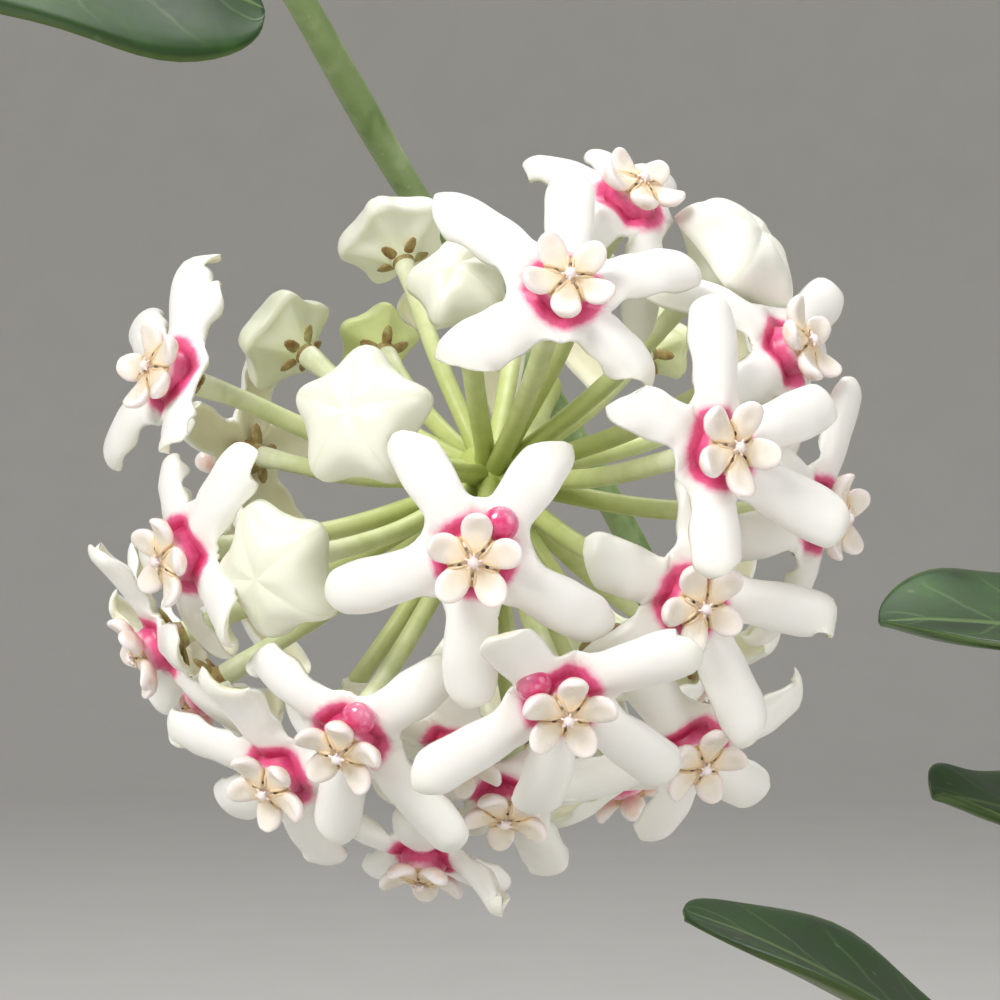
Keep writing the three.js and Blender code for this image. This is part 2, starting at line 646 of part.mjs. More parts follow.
function flowerGeometry({ frame, petals }) {
  const skin = new Skin();
  const at = (angle, radius, height) => frame.middle.clone()
    .addScaledVector(frame.right, Math.cos(angle) * radius)
    .addScaledVector(frame.top, Math.sin(angle) * radius)
    .addScaledVector(frame.facing, height);
  const ordered = [...petals].sort((a, b) => a.angle - b.angle);
  const spans = ordered.map((petal, i) => {
    const following = ordered[(i + 1) % PETALS];
    const turn = following.angle - petal.angle;
    return { from: petal.angle, turn: turn > 0 ? turn : turn + Math.PI * 2 };
  });
  const sinusAngle = (i) => spans[i].from + spans[i].turn / 2;
  const sinusPoints = spans.map((span, i) => skin.point(at(sinusAngle(i), SINUS_RADIUS, -SINUS_FALL)));
  const discShare = (SINUS_RADIUS * Math.cos(Math.PI / PETALS)) / PETAL_LENGTH;

  // Each petal's first ring shares its two edge points with its neighbours
  const petalRings = ordered.map((petal, i) => {
    const side = at(petal.angle + Math.PI / 2, 1, 0).sub(frame.middle);
    const ridge = (share) => ridgePoint(frame, petal, share);
    const section = (share, halfWidth, roll) => {
      const along = ridge(share + 0.02).sub(ridge(share - 0.02)).normalize();
      const lift = along.cross(side).negate();
      if (lift.dot(frame.facing) < 0) {
        lift.negate();
      }
      return [
        [0, 0], [0.74, 0.3 * roll], [1, roll], [0, PETAL_THICKNESS], [-1, roll], [-0.74, 0.3 * roll],
      ].map(([sideways, fall]) => ridge(share)
        .addScaledVector(side, sideways * halfWidth)
        .addScaledVector(lift, -fall));
    };
    const before = sinusPoints[(i + PETALS - 1) % PETALS];
    const [top, left, , under, , right] = section(discShare, SINUS_RADIUS * 0.5, 0.4);
    const first = [
      skin.point(top), skin.point(left), sinusPoints[i], skin.point(under), before,
      skin.point(right),
    ];
    const others = PETAL_RINGS.map(({ share, halfWidth, roll }) => (
      skin.ring(section(share, halfWidth * PETAL_HALF_WIDTH, roll))));
    return [first, ...others];
  });
  petalRings.forEach((rings, i) => {
    rings.slice(1).forEach((ring, j) => skin.band(rings[j], ring));
    const tip = ridgePoint(frame, ordered[i], 1).addScaledVector(frame.facing, -TIP_HOOK);
    skin.fan(skin.point(tip), rings[rings.length - 1]);
  });

  // Underside: down to the calyx, where the pedicel is seated
  const calyx = skin.point(at(0, 0, -CALYX_DEPTH));
  petalRings.forEach(([[, , after, under, before]]) => {
    skin.faces.push([calyx, under, after], [calyx, before, under]);
  });

  // Upper side: the disc's outline goes round ridge, shoulder, sinus, shoulder
  let below = petalRings.flatMap(([[top, left, after]], i) => {
    const nextFirst = petalRings[(i + 1) % PETALS][0];
    return [top, left, after, nextFirst[5]];
  });
  for (const { notch, side, end } of CORONA_RINGS) {
    const ring = spans.flatMap(({ from, turn }) => [
      at(from, notch[0] * CORONA_NECK_RADIUS, notch[1] * CORONA_HEIGHT),
      at(from + turn * 0.28, side[0] * CORONA_NECK_RADIUS, side[1] * CORONA_HEIGHT),
      at(from + turn * 0.5, end[0] * CORONA_NECK_RADIUS, end[1] * CORONA_HEIGHT),
      at(from + turn * 0.72, side[0] * CORONA_NECK_RADIUS, side[1] * CORONA_HEIGHT),
    ]);
    const above = skin.ring(ring);
    skin.band(above, below);
    below = above;
  }
  skin.fan(skin.point(at(0, 0, CORONA_HEIGHT * 0.86)), [...below].reverse());
  return skin.geometry();
}

// Rings up a bud: height, and the radius at its five corners and at the folds between them
const BUD_RINGS = [
  { height: -0.3, corner: 0.5, fold: 0.42 },
  { height: 0, corner: 1, fold: 0.8 },
  { height: 0.28, corner: 0.7, fold: 0.52 },
];

function budGeometry({ frame, size, roll }) {
  const skin = new Skin();
  const width = (BUD_WIDTH / 2) * size;
  const height = BUD_HEIGHT * size;
  const rings = BUD_RINGS.map((ring) => {
    const points = [];
    for (let i = 0; i < PETALS * 2; i += 1) {
      const angle = THREE.MathUtils.degToRad(roll) + (i / (PETALS * 2)) * Math.PI * 2;
      const radius = width * (i % 2 === 0 ? ring.corner : ring.fold);
      points.push(frame.middle.clone()
        .addScaledVector(frame.right, Math.cos(angle) * radius)
        .addScaledVector(frame.top, Math.sin(angle) * radius)
        .addScaledVector(frame.facing, ring.height * height));
    }
    return skin.ring(points);
  });
  rings.slice(1).forEach((ring, i) => skin.band(rings[i], ring));
  const foot = frame.middle.clone().addScaledVector(frame.facing, -BUD_FOOT_DEPTH * size);
  const crown = frame.middle.clone().addScaledVector(frame.facing, height * 0.52);
  skin.fan(skin.point(foot), [...rings[0]].reverse());
  skin.fan(skin.point(crown), rings[rings.length - 1]);
  return skin.geometry();
}

// Stalks of the umbel: peduncle, hub and a pedicel to each flower and bud, grown together
function stalksGeometry() {
  const vineNode = viewPoint(PEDUNCLE_NODE_PIXEL, PEDUNCLE_NODE_DEPTH);
  const nearestShare = nearestOnCurve(VINES[0].curve, vineNode);
  const stemPoint = VINES[0].curve.getPointAt(nearestShare);
  const towardHub = HUB.clone().sub(stemPoint).normalize();
  const start = stemPoint.addScaledVector(towardHub, stemRadiusAt(nearestShare) + SEAT_GAP);
  const bow = start.clone().lerp(HUB, 0.5).addScaledVector(UP, -PEDUNCLE_SAG);
  const peduncle = new THREE.CatmullRomCurve3([start, bow, HUB.clone()]);
  const peduncleRadius = () => PEDUNCLE_DIAMETER / 2;
  let stalks = toManifold(stalkGeometry(peduncle, peduncleRadius, STEM_SIDES, 4));
  const knob = new THREE.IcosahedronGeometry(HUB_RADIUS, 1).translate(HUB.x, HUB.y, HUB.z);
  stalks = stalks.add(toManifold(knob));
  for (const { pedicel } of heads) {
    const stalk = stalkGeometry(pedicel, () => PEDICEL_DIAMETER / 2, PEDICEL_SIDES, 2);
    stalks = stalks.add(toManifold(stalk));
  }
  return fromManifold(stalks);
}

function nearestOnCurve(curve, point) {
  let best = 0;
  for (let i = 1; i <= 400; i += 1) {
    const closer = curve.getPointAt(i / 400).distanceTo(point)
      < curve.getPointAt(best).distanceTo(point);
    best = closer ? i / 400 : best;
  }
  return best;
}

addPiece('pot', potGeometry(), COLOURS.pot, 0.85);
addPiece('soil', soilGeometry(VINES.map((vine) => vine.through[0])), COLOURS.soil, 1);
for (const vine of VINES) {
  addPiece(vine.name, stemGeometry(vine), COLOURS.stem, 0.6);
}
addPiece('umbel_stalks', stalksGeometry(), COLOURS.pedicel, 0.6);
for (const head of heads) {
  const geometry = head.isBud ? budGeometry(head) : flowerGeometry(head);
  addPiece(head.name, geometry, head.isBud ? COLOURS.bud : COLOURS.petal, 0.5);
}
for (const leaf of LEAVES) {
  addPiece(leaf.name, leafGeometry(leaf), COLOURS.leaf, 0.4);
}

export default plant;
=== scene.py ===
import math
import random

import bpy
import numpy as np
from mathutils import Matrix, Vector


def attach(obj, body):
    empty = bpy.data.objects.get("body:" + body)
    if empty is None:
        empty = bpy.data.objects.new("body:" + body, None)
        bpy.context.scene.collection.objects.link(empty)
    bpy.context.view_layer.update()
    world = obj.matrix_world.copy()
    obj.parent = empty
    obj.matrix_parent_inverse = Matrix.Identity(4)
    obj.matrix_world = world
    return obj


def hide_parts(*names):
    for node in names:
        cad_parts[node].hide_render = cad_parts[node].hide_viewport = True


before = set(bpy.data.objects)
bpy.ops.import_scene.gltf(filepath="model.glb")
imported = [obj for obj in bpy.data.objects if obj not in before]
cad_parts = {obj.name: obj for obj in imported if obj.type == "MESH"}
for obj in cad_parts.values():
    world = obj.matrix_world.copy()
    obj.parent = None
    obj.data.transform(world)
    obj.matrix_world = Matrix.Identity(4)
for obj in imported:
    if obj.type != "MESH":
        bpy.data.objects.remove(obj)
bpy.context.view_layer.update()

# A potted wax vine with one ball-shaped umbel of white, star-shaped flowers.
# Sizes are millimetres and are turned into metres where a mesh is made.
MM = 0.001

# Pot and soil
POT_RIM_DIAMETER = 132
POT_BASE_DIAMETER = 92
POT_HEIGHT = 116
POT_WALL = 5
POT_FLOOR = 6
RIM_BAND_HEIGHT = 25
RIM_BAND_STEP = 4
EDGE_ROUNDING = 1.5
DRAIN_HOLES = 3
DRAIN_HOLE_DIAMETER = 9
DRAIN_HOLE_SIDES = 32
DRAIN_HOLE_RING = 27
SOIL_BELOW_RIM = 14
SOIL_CROWN = 3
SOIL_LUMP = 1.1
STEM_HOLE_DEPTH = 26
SEAT_GAP = 0.3

# Umbel
HUB = np.array([-14.0, -44.0, 262.0])
HUB_RADIUS = 3.4
PEDICEL_ROOT = 1.9
UMBEL_RADIUS = 29
PEDICEL_DIAMETER = 1.75
NECK_LENGTH = 4
PEDICEL_BOW = 0.9
PEDUNCLE_DIAMETER = 3.2
PEDUNCLE_SAG = 2.5
PEDUNCLE_NODE_PIXEL = (545, 392)
PEDUNCLE_NODE_DEPTH = 49.6

# Flower
PETALS = 5
PETAL_LENGTH = 11.8
PETAL_SHORTEST = 9
PETAL_LONGEST = 13.2
PETAL_HALF_WIDTH = 2.05
PETAL_THICKNESS = 0.9
PETAL_DROP = 2.4
PETAL_DROP_POWER = 2.3
PETAL_LIFT = 0.5
SINUS_RADIUS = 4.1
SINUS_FALL = 0.45
CALYX_DEPTH = 1.9
BUD_FOOT_DEPTH = 2.3
CORONA_RADIUS = 3.5
CORONA_HEIGHT = 3
BUD_WIDTH = 9.6
BUD_HEIGHT = 6

# Vine
STEM_DIAMETER = 3.6
STEM_TIP_DIAMETER = 2.9
LEAF_THICKNESS = 1.6
PETIOLE_DIAMETER = 2.6
PETIOLE_LENGTH = 9
LEAF_ARCH = 0.1
LEAF_VEINS = 6

# The photograph's frame: the view axis is +Y and the hub lies this far from the lens
VIEW_DISTANCE = 200
FOCAL_PIXELS = 2400
FRAME_MIDDLE = 500
FRAME_PIXELS = 1000
HUB_PIXEL = (490, 480)
LENS = HUB + np.array([
    -(HUB_PIXEL[0] - FRAME_MIDDLE) * VIEW_DISTANCE / FOCAL_PIXELS,
    -VIEW_DISTANCE,
    (HUB_PIXEL[1] - FRAME_MIDDLE) * VIEW_DISTANCE / FOCAL_PIXELS,
])

# Open flowers: the photograph's pixel at the middle of the corolla, the roll of the first petal
# from the image's right, any petal tips that show, and the distance from the hub.
OPEN_FLOWERS = [
    dict(name="bloom_front", at=(475, 555), radius=31, drop_at=52,
         tips=[(568, 440), (400, 425), (315, 600), (468, 715), (620, 640)]),
    dict(name="bloom_top", at=(563, 292), radius=30,
         tips=[(705, 262), (575, 148), (428, 183), (450, 372), (650, 390)]),
    dict(name="bloom_right", at=(718, 450), radius=31,
         tips=[(845, 393), (708, 290), (613, 398), (697, 578), (835, 545)]),
    dict(name="bloom_low", at=(562, 700), radius=31.5, drop_at=140,
         tips=[(689, 620), (487, 604), (400, 755), (535, 862), (700, 780)]),
    dict(name="bloom_low_left", at=(350, 735), radius=31, drop_at=62,
         tips=[(437, 683), (248, 638), (210, 755), (335, 866), (475, 835)]),
    dict(name="bloom_low_right", at=(690, 600), roll=5, radius=27.5,
         lean=(-0.15, -0.15, 0.1),
         tips=[(850, 612), None, (610, 560), None, (745, 728)],
         drops=[-1.2, None, None, None, None]),
    dict(name="bloom_right_high", at=(785, 352), roll=74, radius=29,
         tips=[(800, 262), None, None, None, (850, 345)]),
    dict(name="bloom_far_right", at=(818, 515), roll=350, radius=29.5,
         drops=[None, -1, None, 5, 5]),
    dict(name="bloom_top_right", at=(630, 203), roll=9, radius=27.5,
         lean=(0.1, -0.25, 0.1),
         tips=[(672, 150), (600, 150), (520, 155), None, None],
         drops=[3, None, None, None, None]),
    dict(name="bloom_right_low", at=(692, 750), roll=340, radius=29.5,
         lean=(-0.1, -0.45, 0.1),
         tips=[(778, 808), (812, 697), None, None, None]),
    dict(name="bloom_low_behind", at=(622, 775), roll=12, radius=29.5, behind=True),
    dict(name="bloom_left_low", at=(280, 775), roll=25, radius=31,
         lean=(0, -0.4, 0.15),
         tips=[None, None, None, (222, 812), (330, 872)]),
    dict(name="bloom_far_left", at=(185, 555), roll=119, radius=29.5,
         tips=[(172, 446), None, (190, 668), None, None]),
    dict(name="bloom_left_high", at=(172, 375), roll=90, radius=29.5,
         lean=(0.05, -0.2, 0),
         tips=[(209, 243), (138, 310), (95, 462), (205, 470), (205, 340)]),
    dict(name="bloom_left", at=(160, 645), roll=20, radius=30.5),
    dict(name="bloom_bottom", at=(508, 797), roll=4, radius=27, drop=0,
         lean=(-0.15, -0.35, 0.1),
         tips=[None, None, None, None, (570, 900)]),
    dict(name="bloom_bottom_left", at=(425, 856), roll=90, radius=31.5, drop=-0.6, length=9.6,
         lean=(0, -0.2, 0)),
    dict(name="bloom_inner_low", at=(460, 745), roll=20, radius=25, drop=3.5, length=10.6),
    dict(name="bloom_back_bottom", at=(520, 740), roll=36, behind=True),
    dict(name="bloom_back_left_high", at=(245, 455), roll=10, behind=True),
    dict(name="bloom_back_left", at=(228, 572), roll=66, behind=True),
    dict(name="bloom_back_left_low", at=(205, 690), roll=30, radius=30.5, behind=True),
    dict(name="bloom_back_top", at=(520, 300), roll=15, behind=True),
    dict(name="bloom_back_right", at=(755, 400), roll=48, behind=True),
    dict(name="bloom_back_low_right", at=(700, 660), roll=33, behind=True),
]

# Closed buds: pixel, size against the full bud, roll of a corner, and how green it still is
BUDS = [
    dict(name="bud_front", at=(365, 420), size=1.15, roll=15, radius=26.5, green=0.15),
    dict(name="bud_left", at=(285, 568), size=1.15, roll=40, radius=27, green=0.2),
    dict(name="bud_top_right", at=(727, 262), size=1.28, roll=20, radius=27.3, green=0),
    dict(name="bud_top_left", at=(396, 243), size=1.1, roll=0, radius=27.5, behind=True,
         green=0.1),
    dict(name="bud_top", at=(462, 288), size=0.9, roll=30, radius=23, green=0.15),
    dict(name="bud_back_left", at=(288, 342), size=1.05, roll=10, radius=25.5, behind=True,
         green=0.3),
    dict(name="bud_back", at=(378, 345), size=0.85, roll=0, radius=26, behind=True, green=0.95),
    dict(name="bud_back_right", at=(655, 345), size=0.8, roll=25, behind=True, green=0.6),
    dict(name="bud_back_low", at=(600, 640), size=0.8, roll=50, behind=True, green=0.5),
]


UP = np.array([0, 0, 1.0])


def unit(vector):
    return vector / np.linalg.norm(vector)


def blended(a, b, share):
    return a + (b - a) * share


def shares(steps):
    return [i / steps for i in range(steps + 1)]


def smooth_step(low, high, value):
    share = np.clip((value - low) / (high - low), 0, 1)
    return share * share * (3 - 2 * share)


def circle(radius, height, steps, centre=(0, 0)):
    """Points of a level circle."""
    angles = np.linspace(0, math.tau, steps, endpoint=False)
    return np.stack([centre[0] + radius * np.cos(angles), centre[1] + radius * np.sin(angles),
                     np.full(steps, float(height))], 1)


def turned_by(angle):
    """The directions outward, sideways and up at an angle. As a matrix they turn points."""
    return np.array([[math.cos(angle), math.sin(angle), 0],
                     [-math.sin(angle), math.cos(angle), 0], UP])


def view_point(pixel, depth):
    """A point in the model for a pixel of the photograph, a given depth behind the hub."""
    distance = VIEW_DISTANCE + depth
    return LENS + np.array([
        (pixel[0] - FRAME_MIDDLE) * distance / FOCAL_PIXELS,
        distance,
        -(pixel[1] - FRAME_MIDDLE) * distance / FOCAL_PIXELS,
    ])


def on_umbel(pixel, radius, behind=False):
    """Where a pixel's line of sight meets a sphere about the hub, or comes nearest to it."""
    ray = unit(view_point(pixel, 0) - LENS)
    nearest = LENS + ray * np.dot(HUB - LENS, ray)
    half_chord_squared = radius ** 2 - np.sum((nearest - HUB) ** 2)
    if half_chord_squared <= 0:
        return HUB + unit(nearest - HUB) * radius
    half_chord = math.sqrt(half_chord_squared)
    return nearest + ray * (half_chord if behind else -half_chord)


class Path:
    """A smooth curve through points, measured by the share of its length."""

    DIVISIONS = 200

    def __init__(self, points):
        self.points = [np.array(point, float) for point in points]
        times = np.linspace(0, 1, self.DIVISIONS + 1)
        samples = np.array([self.at_time(time) for time in times])
        steps = np.linalg.norm(np.diff(samples, axis=0), axis=1)
        self.reached = np.concatenate([[0], np.cumsum(steps)])
        self.times = times
        self.length = self.reached[-1]

    def at_time(self, time):
        points = self.points
        place = (len(points) - 1) * time
        index = min(int(place), len(points) - 2)
        weight = place - index
        start, end = points[index], points[index + 1]
        before = points[index - 1] if index > 0 else 2 * points[0] - points[1]
        after = points[index + 2] if index + 2 < len(points) else 2 * points[-1] - points[-2]
        gaps = [max(float(np.sum((a - b) ** 2)) ** 0.25, 1e-4)
                for a, b in ((before, start), (start, end), (end, after))]
        leaving = ((start - before) / gaps[0] - (end - before) / (gaps[0] + gaps[1])
                   + (end - start) / gaps[1]) * gaps[1]
        arriving = ((end - start) / gaps[1] - (after - start) / (gaps[1] + gaps[2])
                    + (after - end) / gaps[2]) * gaps[1]
        cubic = 2 * start - 2 * end + leaving + arriving
        square = -3 * start + 3 * end - 2 * leaving - arriving
        return start + leaving * weight + square * weight ** 2 + cubic * weight ** 3

    def time_at(self, share):
        return float(np.interp(share * self.length, self.reached, self.times))

    def at(self, share):
        return self.at_time(self.time_at(share))

    def tangent(self, share):
        time = self.time_at(share)
        return unit(self.at_time(min(time + 1e-4, 1)) - self.at_time(max(time - 1e-4, 0)))


# Vines: the named points that each stem passes, from its foot in the soil to its tip
soil_top = POT_HEIGHT - SOIL_BELOW_RIM


def beside(right, away, up):
    """A point by its offset from the hub: right, away from the viewer, up."""
    return HUB + np.array([right, away, up])


def stem_foot(x, y):
    heights = (soil_top - STEM_HOLE_DEPTH + SEAT_GAP, soil_top - STEM_HOLE_DEPTH / 2,
               soil_top + SOIL_CROWN * 2, soil_top + SOIL_CROWN * 5)
    return [np.array([x, y, height]) for height in heights]


VINES = {
    "vine_flowering": stem_foot(-18, -8) + [
        beside(-14, 29, -118), beside(-42, 17, -78), beside(-66, 4, -28), beside(-79, -8, 20),
        beside(-77, -19, 58), beside(-60, -21, 81), beside(-43, -8, 79), beside(-30, 9, 64.5),
        view_point((300, 0), 27), view_point((410, 190), 44), view_point((560, 415), 50),
        view_point((628, 535), 53), view_point((690, 665), 56), view_point((708, 712), 57)],
    "vine_right": stem_foot(20, 10) + [
        beside(52, 55, -122), beside(78, 60, -80), beside(95, 62, -34), beside(99, 62, 8),
        beside(95, 58, 46), beside(84, 50, 80), beside(68, 40, 104)],
    "vine_back": stem_foot(-8, 24) + [
        beside(-6, 92, -124), beside(-28, 116, -104), beside(-56, 132, -98),
        beside(-82, 138, -112), beside(-96, 138, -134)],
    "vine_front": stem_foot(16, -22) + [
        beside(38, 10, -124), beside(50, -16, -112), beside(58, -42, -118),
        beside(62, -58, -138), beside(64, -64, -162)],
}
vine_paths = {name: Path(through) for name, through in VINES.items()}

# Leaves of each vine: each grows from a share of its length and reaches a tip point. "face" is
# where its upper side looks, and "width" is its full width.
LEAVES = {
    "vine_flowering": [
        dict(name="leaf_flowering_top", share=0.575, tip=view_point((264, 10), 12),
             face=(0.2, -0.78, 0.6), width=34, arch=0.02),
        dict(name="leaf_flowering_high", share=0.55, tip=beside(-118, -48, 84),
             face=(-0.2, -0.3, 0.9), width=40),
        dict(name="leaf_flowering_mid", share=0.36, tip=beside(-122, -26, -42),
             face=(-0.3, -0.4, 0.85), width=46),
        dict(name="leaf_flowering_mid_back", share=0.36, tip=beside(-100, 62, -16),
             face=(-0.6, 0.2, 0.8), width=44),
        dict(name="leaf_flowering_low", share=0.2, tip=beside(-70, -30, -122),
             face=(-0.2, -0.5, 0.85), width=48),
    ],
    "vine_right": [
        dict(name="leaf_right_low", share=0.34, tip=view_point((685, 912), 50),
             face=(-0.15, -0.1, 0.98), width=40),
        dict(name="leaf_right_low_outer", share=0.34, tip=beside(142, 90, -94),
             face=(0.3, 0.1, 0.9), width=46),
        dict(name="leaf_right_mid", share=0.48, tip=view_point((934, 796), 50),
             face=(-0.1, -0.16, 0.98), width=36, arch=0.04),
        dict(name="leaf_right_mid_outer", share=0.48, tip=beside(152, 34, -34),
             face=(0.3, -0.3, 0.9), width=42),
        dict(name="leaf_right_high", share=0.56, tip=view_point((880, 622), 58),
             face=(-0.1, -0.22, 0.97), width=38, arch=0.05),
        dict(name="leaf_right_high_outer", share=0.62, tip=beside(148, 92, 38),
             face=(0.2, 0.2, 0.95), width=42),
        dict(name="leaf_right_upper", share=0.8, tip=beside(136, 14, 78),
             face=(0.3, -0.2, 0.92), width=36),
        dict(name="leaf_right_top", share=0.95, tip=beside(84, -2, 130),
             face=(-0.3, -0.2, 0.92), width=28),
    ],
    "vine_back": [
        dict(name="leaf_back_low", share=0.45, tip=beside(22, 156, -98),
             face=(0.1, 0.2, 0.95), width=48),
        dict(name="leaf_back_mid", share=0.62, tip=beside(-70, 82, -84),
             face=(-0.1, -0.1, 0.97), width=46),
        dict(name="leaf_back_end", share=0.93, tip=beside(-132, 108, -152),
             face=(-0.6, -0.2, 0.75), width=40),
    ],
    "vine_front": [
        dict(name="leaf_front_low", share=0.48, tip=beside(0, -44, -114),
             face=(-0.1, -0.3, 0.94), width=46),
        dict(name="leaf_front_mid", share=0.62, tip=beside(112, -50, -118),
             face=(0.2, -0.2, 0.95), width=44),
        dict(name="leaf_front_end", share=0.9, tip=beside(32, -98, -178),
             face=(-0.2, -0.85, 0.5), width=38),
    ],
}


def stem_radius(share):
    return blended(STEM_DIAMETER, STEM_TIP_DIAMETER, share) / 2


class HeadFrame:
    """A flower or bud's middle, the way it faces, and two directions across it."""

    def __init__(self, head):
        radius = head.get("radius", UMBEL_RADIUS)
        self.middle = on_umbel(head["at"], radius, head.get("behind", False))
        self.outward = unit(self.middle - HUB)
        self.facing = unit(self.outward + np.array(head.get("lean", (0, 0, 0))))
        turn = Vector((0, -1, 0)).rotation_difference(Vector(self.facing))
        self.right = np.array(turn @ Vector((1, 0, 0)))
        self.top = np.array(turn @ Vector((0, 0, 1)))

    def place(self, local):
        """Points given as right, top, facing become points of the model."""
        axes = np.array([self.right, self.top, self.facing])
        return self.middle + np.asarray(local, float) @ axes

    def across(self, angle, radius, height):
        return (self.middle + self.right * math.cos(angle) * radius
                + self.top * math.sin(angle) * radius + self.facing * height)


def pedicel_path(head, head_frame):
    """The pedicel rises from inside the hub, bows a little, and ends under the calyx."""
    depth = BUD_FOOT_DEPTH * head["size"] if "size" in head else CALYX_DEPTH
    end = head_frame.middle - head_frame.facing * (depth + SEAT_GAP)
    start = HUB + head_frame.outward * PEDICEL_ROOT
    bend = (start + end) / 2 - head_frame.top * PEDICEL_BOW
    neck = end - head_frame.facing * NECK_LENGTH
    return Path([start, bend, neck, end] if "lean" in head else [start, bend, end])


def petal_heading(head, head_frame, index):
    tips, drop = head.get("tips"), head.get("drop", PETAL_DROP)
    if "drops" in head and head["drops"][index] is not None:
        drop = head["drops"][index]
    if not tips or not tips[index]:
        angle = math.radians(head.get("roll", 0) + index * 360 / PETALS) % math.tau
        return dict(angle=angle, length=head.get("length", PETAL_LENGTH), drop=drop)
    ray = view_point(tips[index], 0) - LENS
    level = head_frame.middle - head_frame.facing * drop - LENS
    reach = ray * np.dot(level, head_frame.facing) / np.dot(ray, head_frame.facing)
    reach = reach + LENS - head_frame.middle
    x, y = np.dot(reach, head_frame.right), np.dot(reach, head_frame.top)
    length = min(max(math.hypot(x, y), PETAL_SHORTEST), PETAL_LONGEST)
    return dict(angle=math.atan2(y, x) % math.tau, length=length, drop=drop)


def ridge_point(head_frame, petal, share):
    height = 4 * PETAL_LIFT * share * (1 - share) - petal["drop"] * share ** PETAL_DROP_POWER
    return head_frame.across(petal["angle"], petal["length"] * share, height)


# Petals bend clear of what already stands in the umbel. Everything there is a row of balls, and
# two balls of petals may lie closer when one is above the other, because petals are flat.
BEND_TRIALS = [
    (math.radians(sweep), shrink, bend)
    for sweep in (0, 7, -7, 14, -14, 21, -21)
    for shrink in (1, 0.88, 0.78)
    for bend in (0, 1, -1, 2, -2, 3, -3, 4, -4, 5, -5, 6)
]
BALL_SHARES = (0.4, 0.55, 0.7, 0.85, 1)
PETAL_FLATNESS = 1.9
PETAL_BALL = 2.1
CLEARANCE = 0.28
standing = []


def stand(owner, centre, size, is_petal=False):
    standing.append((owner, *centre, size, is_petal))


def spare_room(balls, owner):
    others = [ball[1:] for ball in standing if ball[0] != owner]
    others = np.array(others, float)
    least = math.inf
    for centre, size in balls:
        gap = centre - others[:, :3]
        outward = (centre + others[:, :3]) / 2 - HUB
        outward /= np.linalg.norm(outward, axis=1)[:, None]
        rise = np.sum(gap * outward, axis=1)
        flatness = np.where(others[:, 4] > 0, PETAL_FLATNESS, 1)
        level = np.maximum(np.sum(gap ** 2, axis=1) - rise ** 2, 0)
        apart = np.sqrt(level + (flatness * rise) ** 2)
        least = min(least, float(np.min(apart - size - others[:, 3] - CLEARANCE)))
    return least


def petal_balls(head_frame, petal):
    sink = head_frame.facing * PETAL_THICKNESS * 0.7
    return [(ridge_point(head_frame, petal, share) - sink,
             PETAL_BALL * (0.6 if share > 0.9 else 1)) for share in BALL_SHARES]


def bent_clear(head, head_frame, natural):
    best, best_room = None, -math.inf
    for sweep, shrink, bend in BEND_TRIALS:
        petal = dict(angle=natural["angle"] + sweep, length=natural["length"] * shrink,
                     drop=natural["drop"] + bend)
        room = spare_room(petal_balls(head_frame, petal), head["name"])
        if room > 0:
            return petal
        if room > best_room:
            best, best_room = petal, room
    return best


for head in OPEN_FLOWERS + BUDS:
    head["frame"] = HeadFrame(head)
    head["pedicel"] = pedicel_path(head, head["frame"])
    middle, facing = head["frame"].middle, head["frame"].facing
    if "size" in head:
        stand(head["name"], middle, BUD_WIDTH / 2 * head["size"], True)
    else:
        stand(head["name"], middle + facing * CORONA_HEIGHT * 0.6, CORONA_RADIUS)
        stand(head["name"], middle, SINUS_RADIUS, True)
    for tenth in range(3, 11):
        stand(head["name"], head["pedicel"].at(tenth / 10), PEDICEL_DIAMETER / 2)
for head in OPEN_FLOWERS:
    head["petals"] = []
    for index in range(PETALS):
        natural = petal_heading(head, head["frame"], index)
        petal = bent_clear(head, head["frame"], natural)
        petal["index"] = index
        head["petals"].append(petal)
        for centre, size in petal_balls(head["frame"], petal):
            stand(head["name"], centre, size, True)


# Materials
def paint(red, green, blue):
    """A colour picked in everyday 0 to 255 values, as the shader wants it."""
    channels = []
    for value in (red, green, blue):
        value /= 255
        channels.append(value / 12.92 if value <= 0.04045 else ((value + 0.055) / 1.055) ** 2.4)
    return (*channels, 1.0)


class Graph:
    """A tree of nodes, and short ways to add and join its nodes."""

    def __init__(self, tree):
        self.tree = tree

    def join(self, value, socket):
        if isinstance(value, bpy.types.NodeSocket):
            self.tree.links.new(value, socket)
        else:
            socket.default_value = value

    def node(self, kind, settings=None, **inputs):
        node = self.tree.nodes.new(kind)
        for setting, value in (settings or {}).items():
            setattr(node, setting, value)
        for label, value in inputs.items():
            self.join(value, node.inputs[label.replace("_", " ")])
        return node

    def maths(self, operation, first, second=0.0, kind="ShaderNodeMath"):
        node = self.node(kind, {"operation": operation})
        self.join(first, node.inputs[0])
        self.join(second, node.inputs["Scale" if operation == "SCALE" else 1])
        return node.outputs[0]


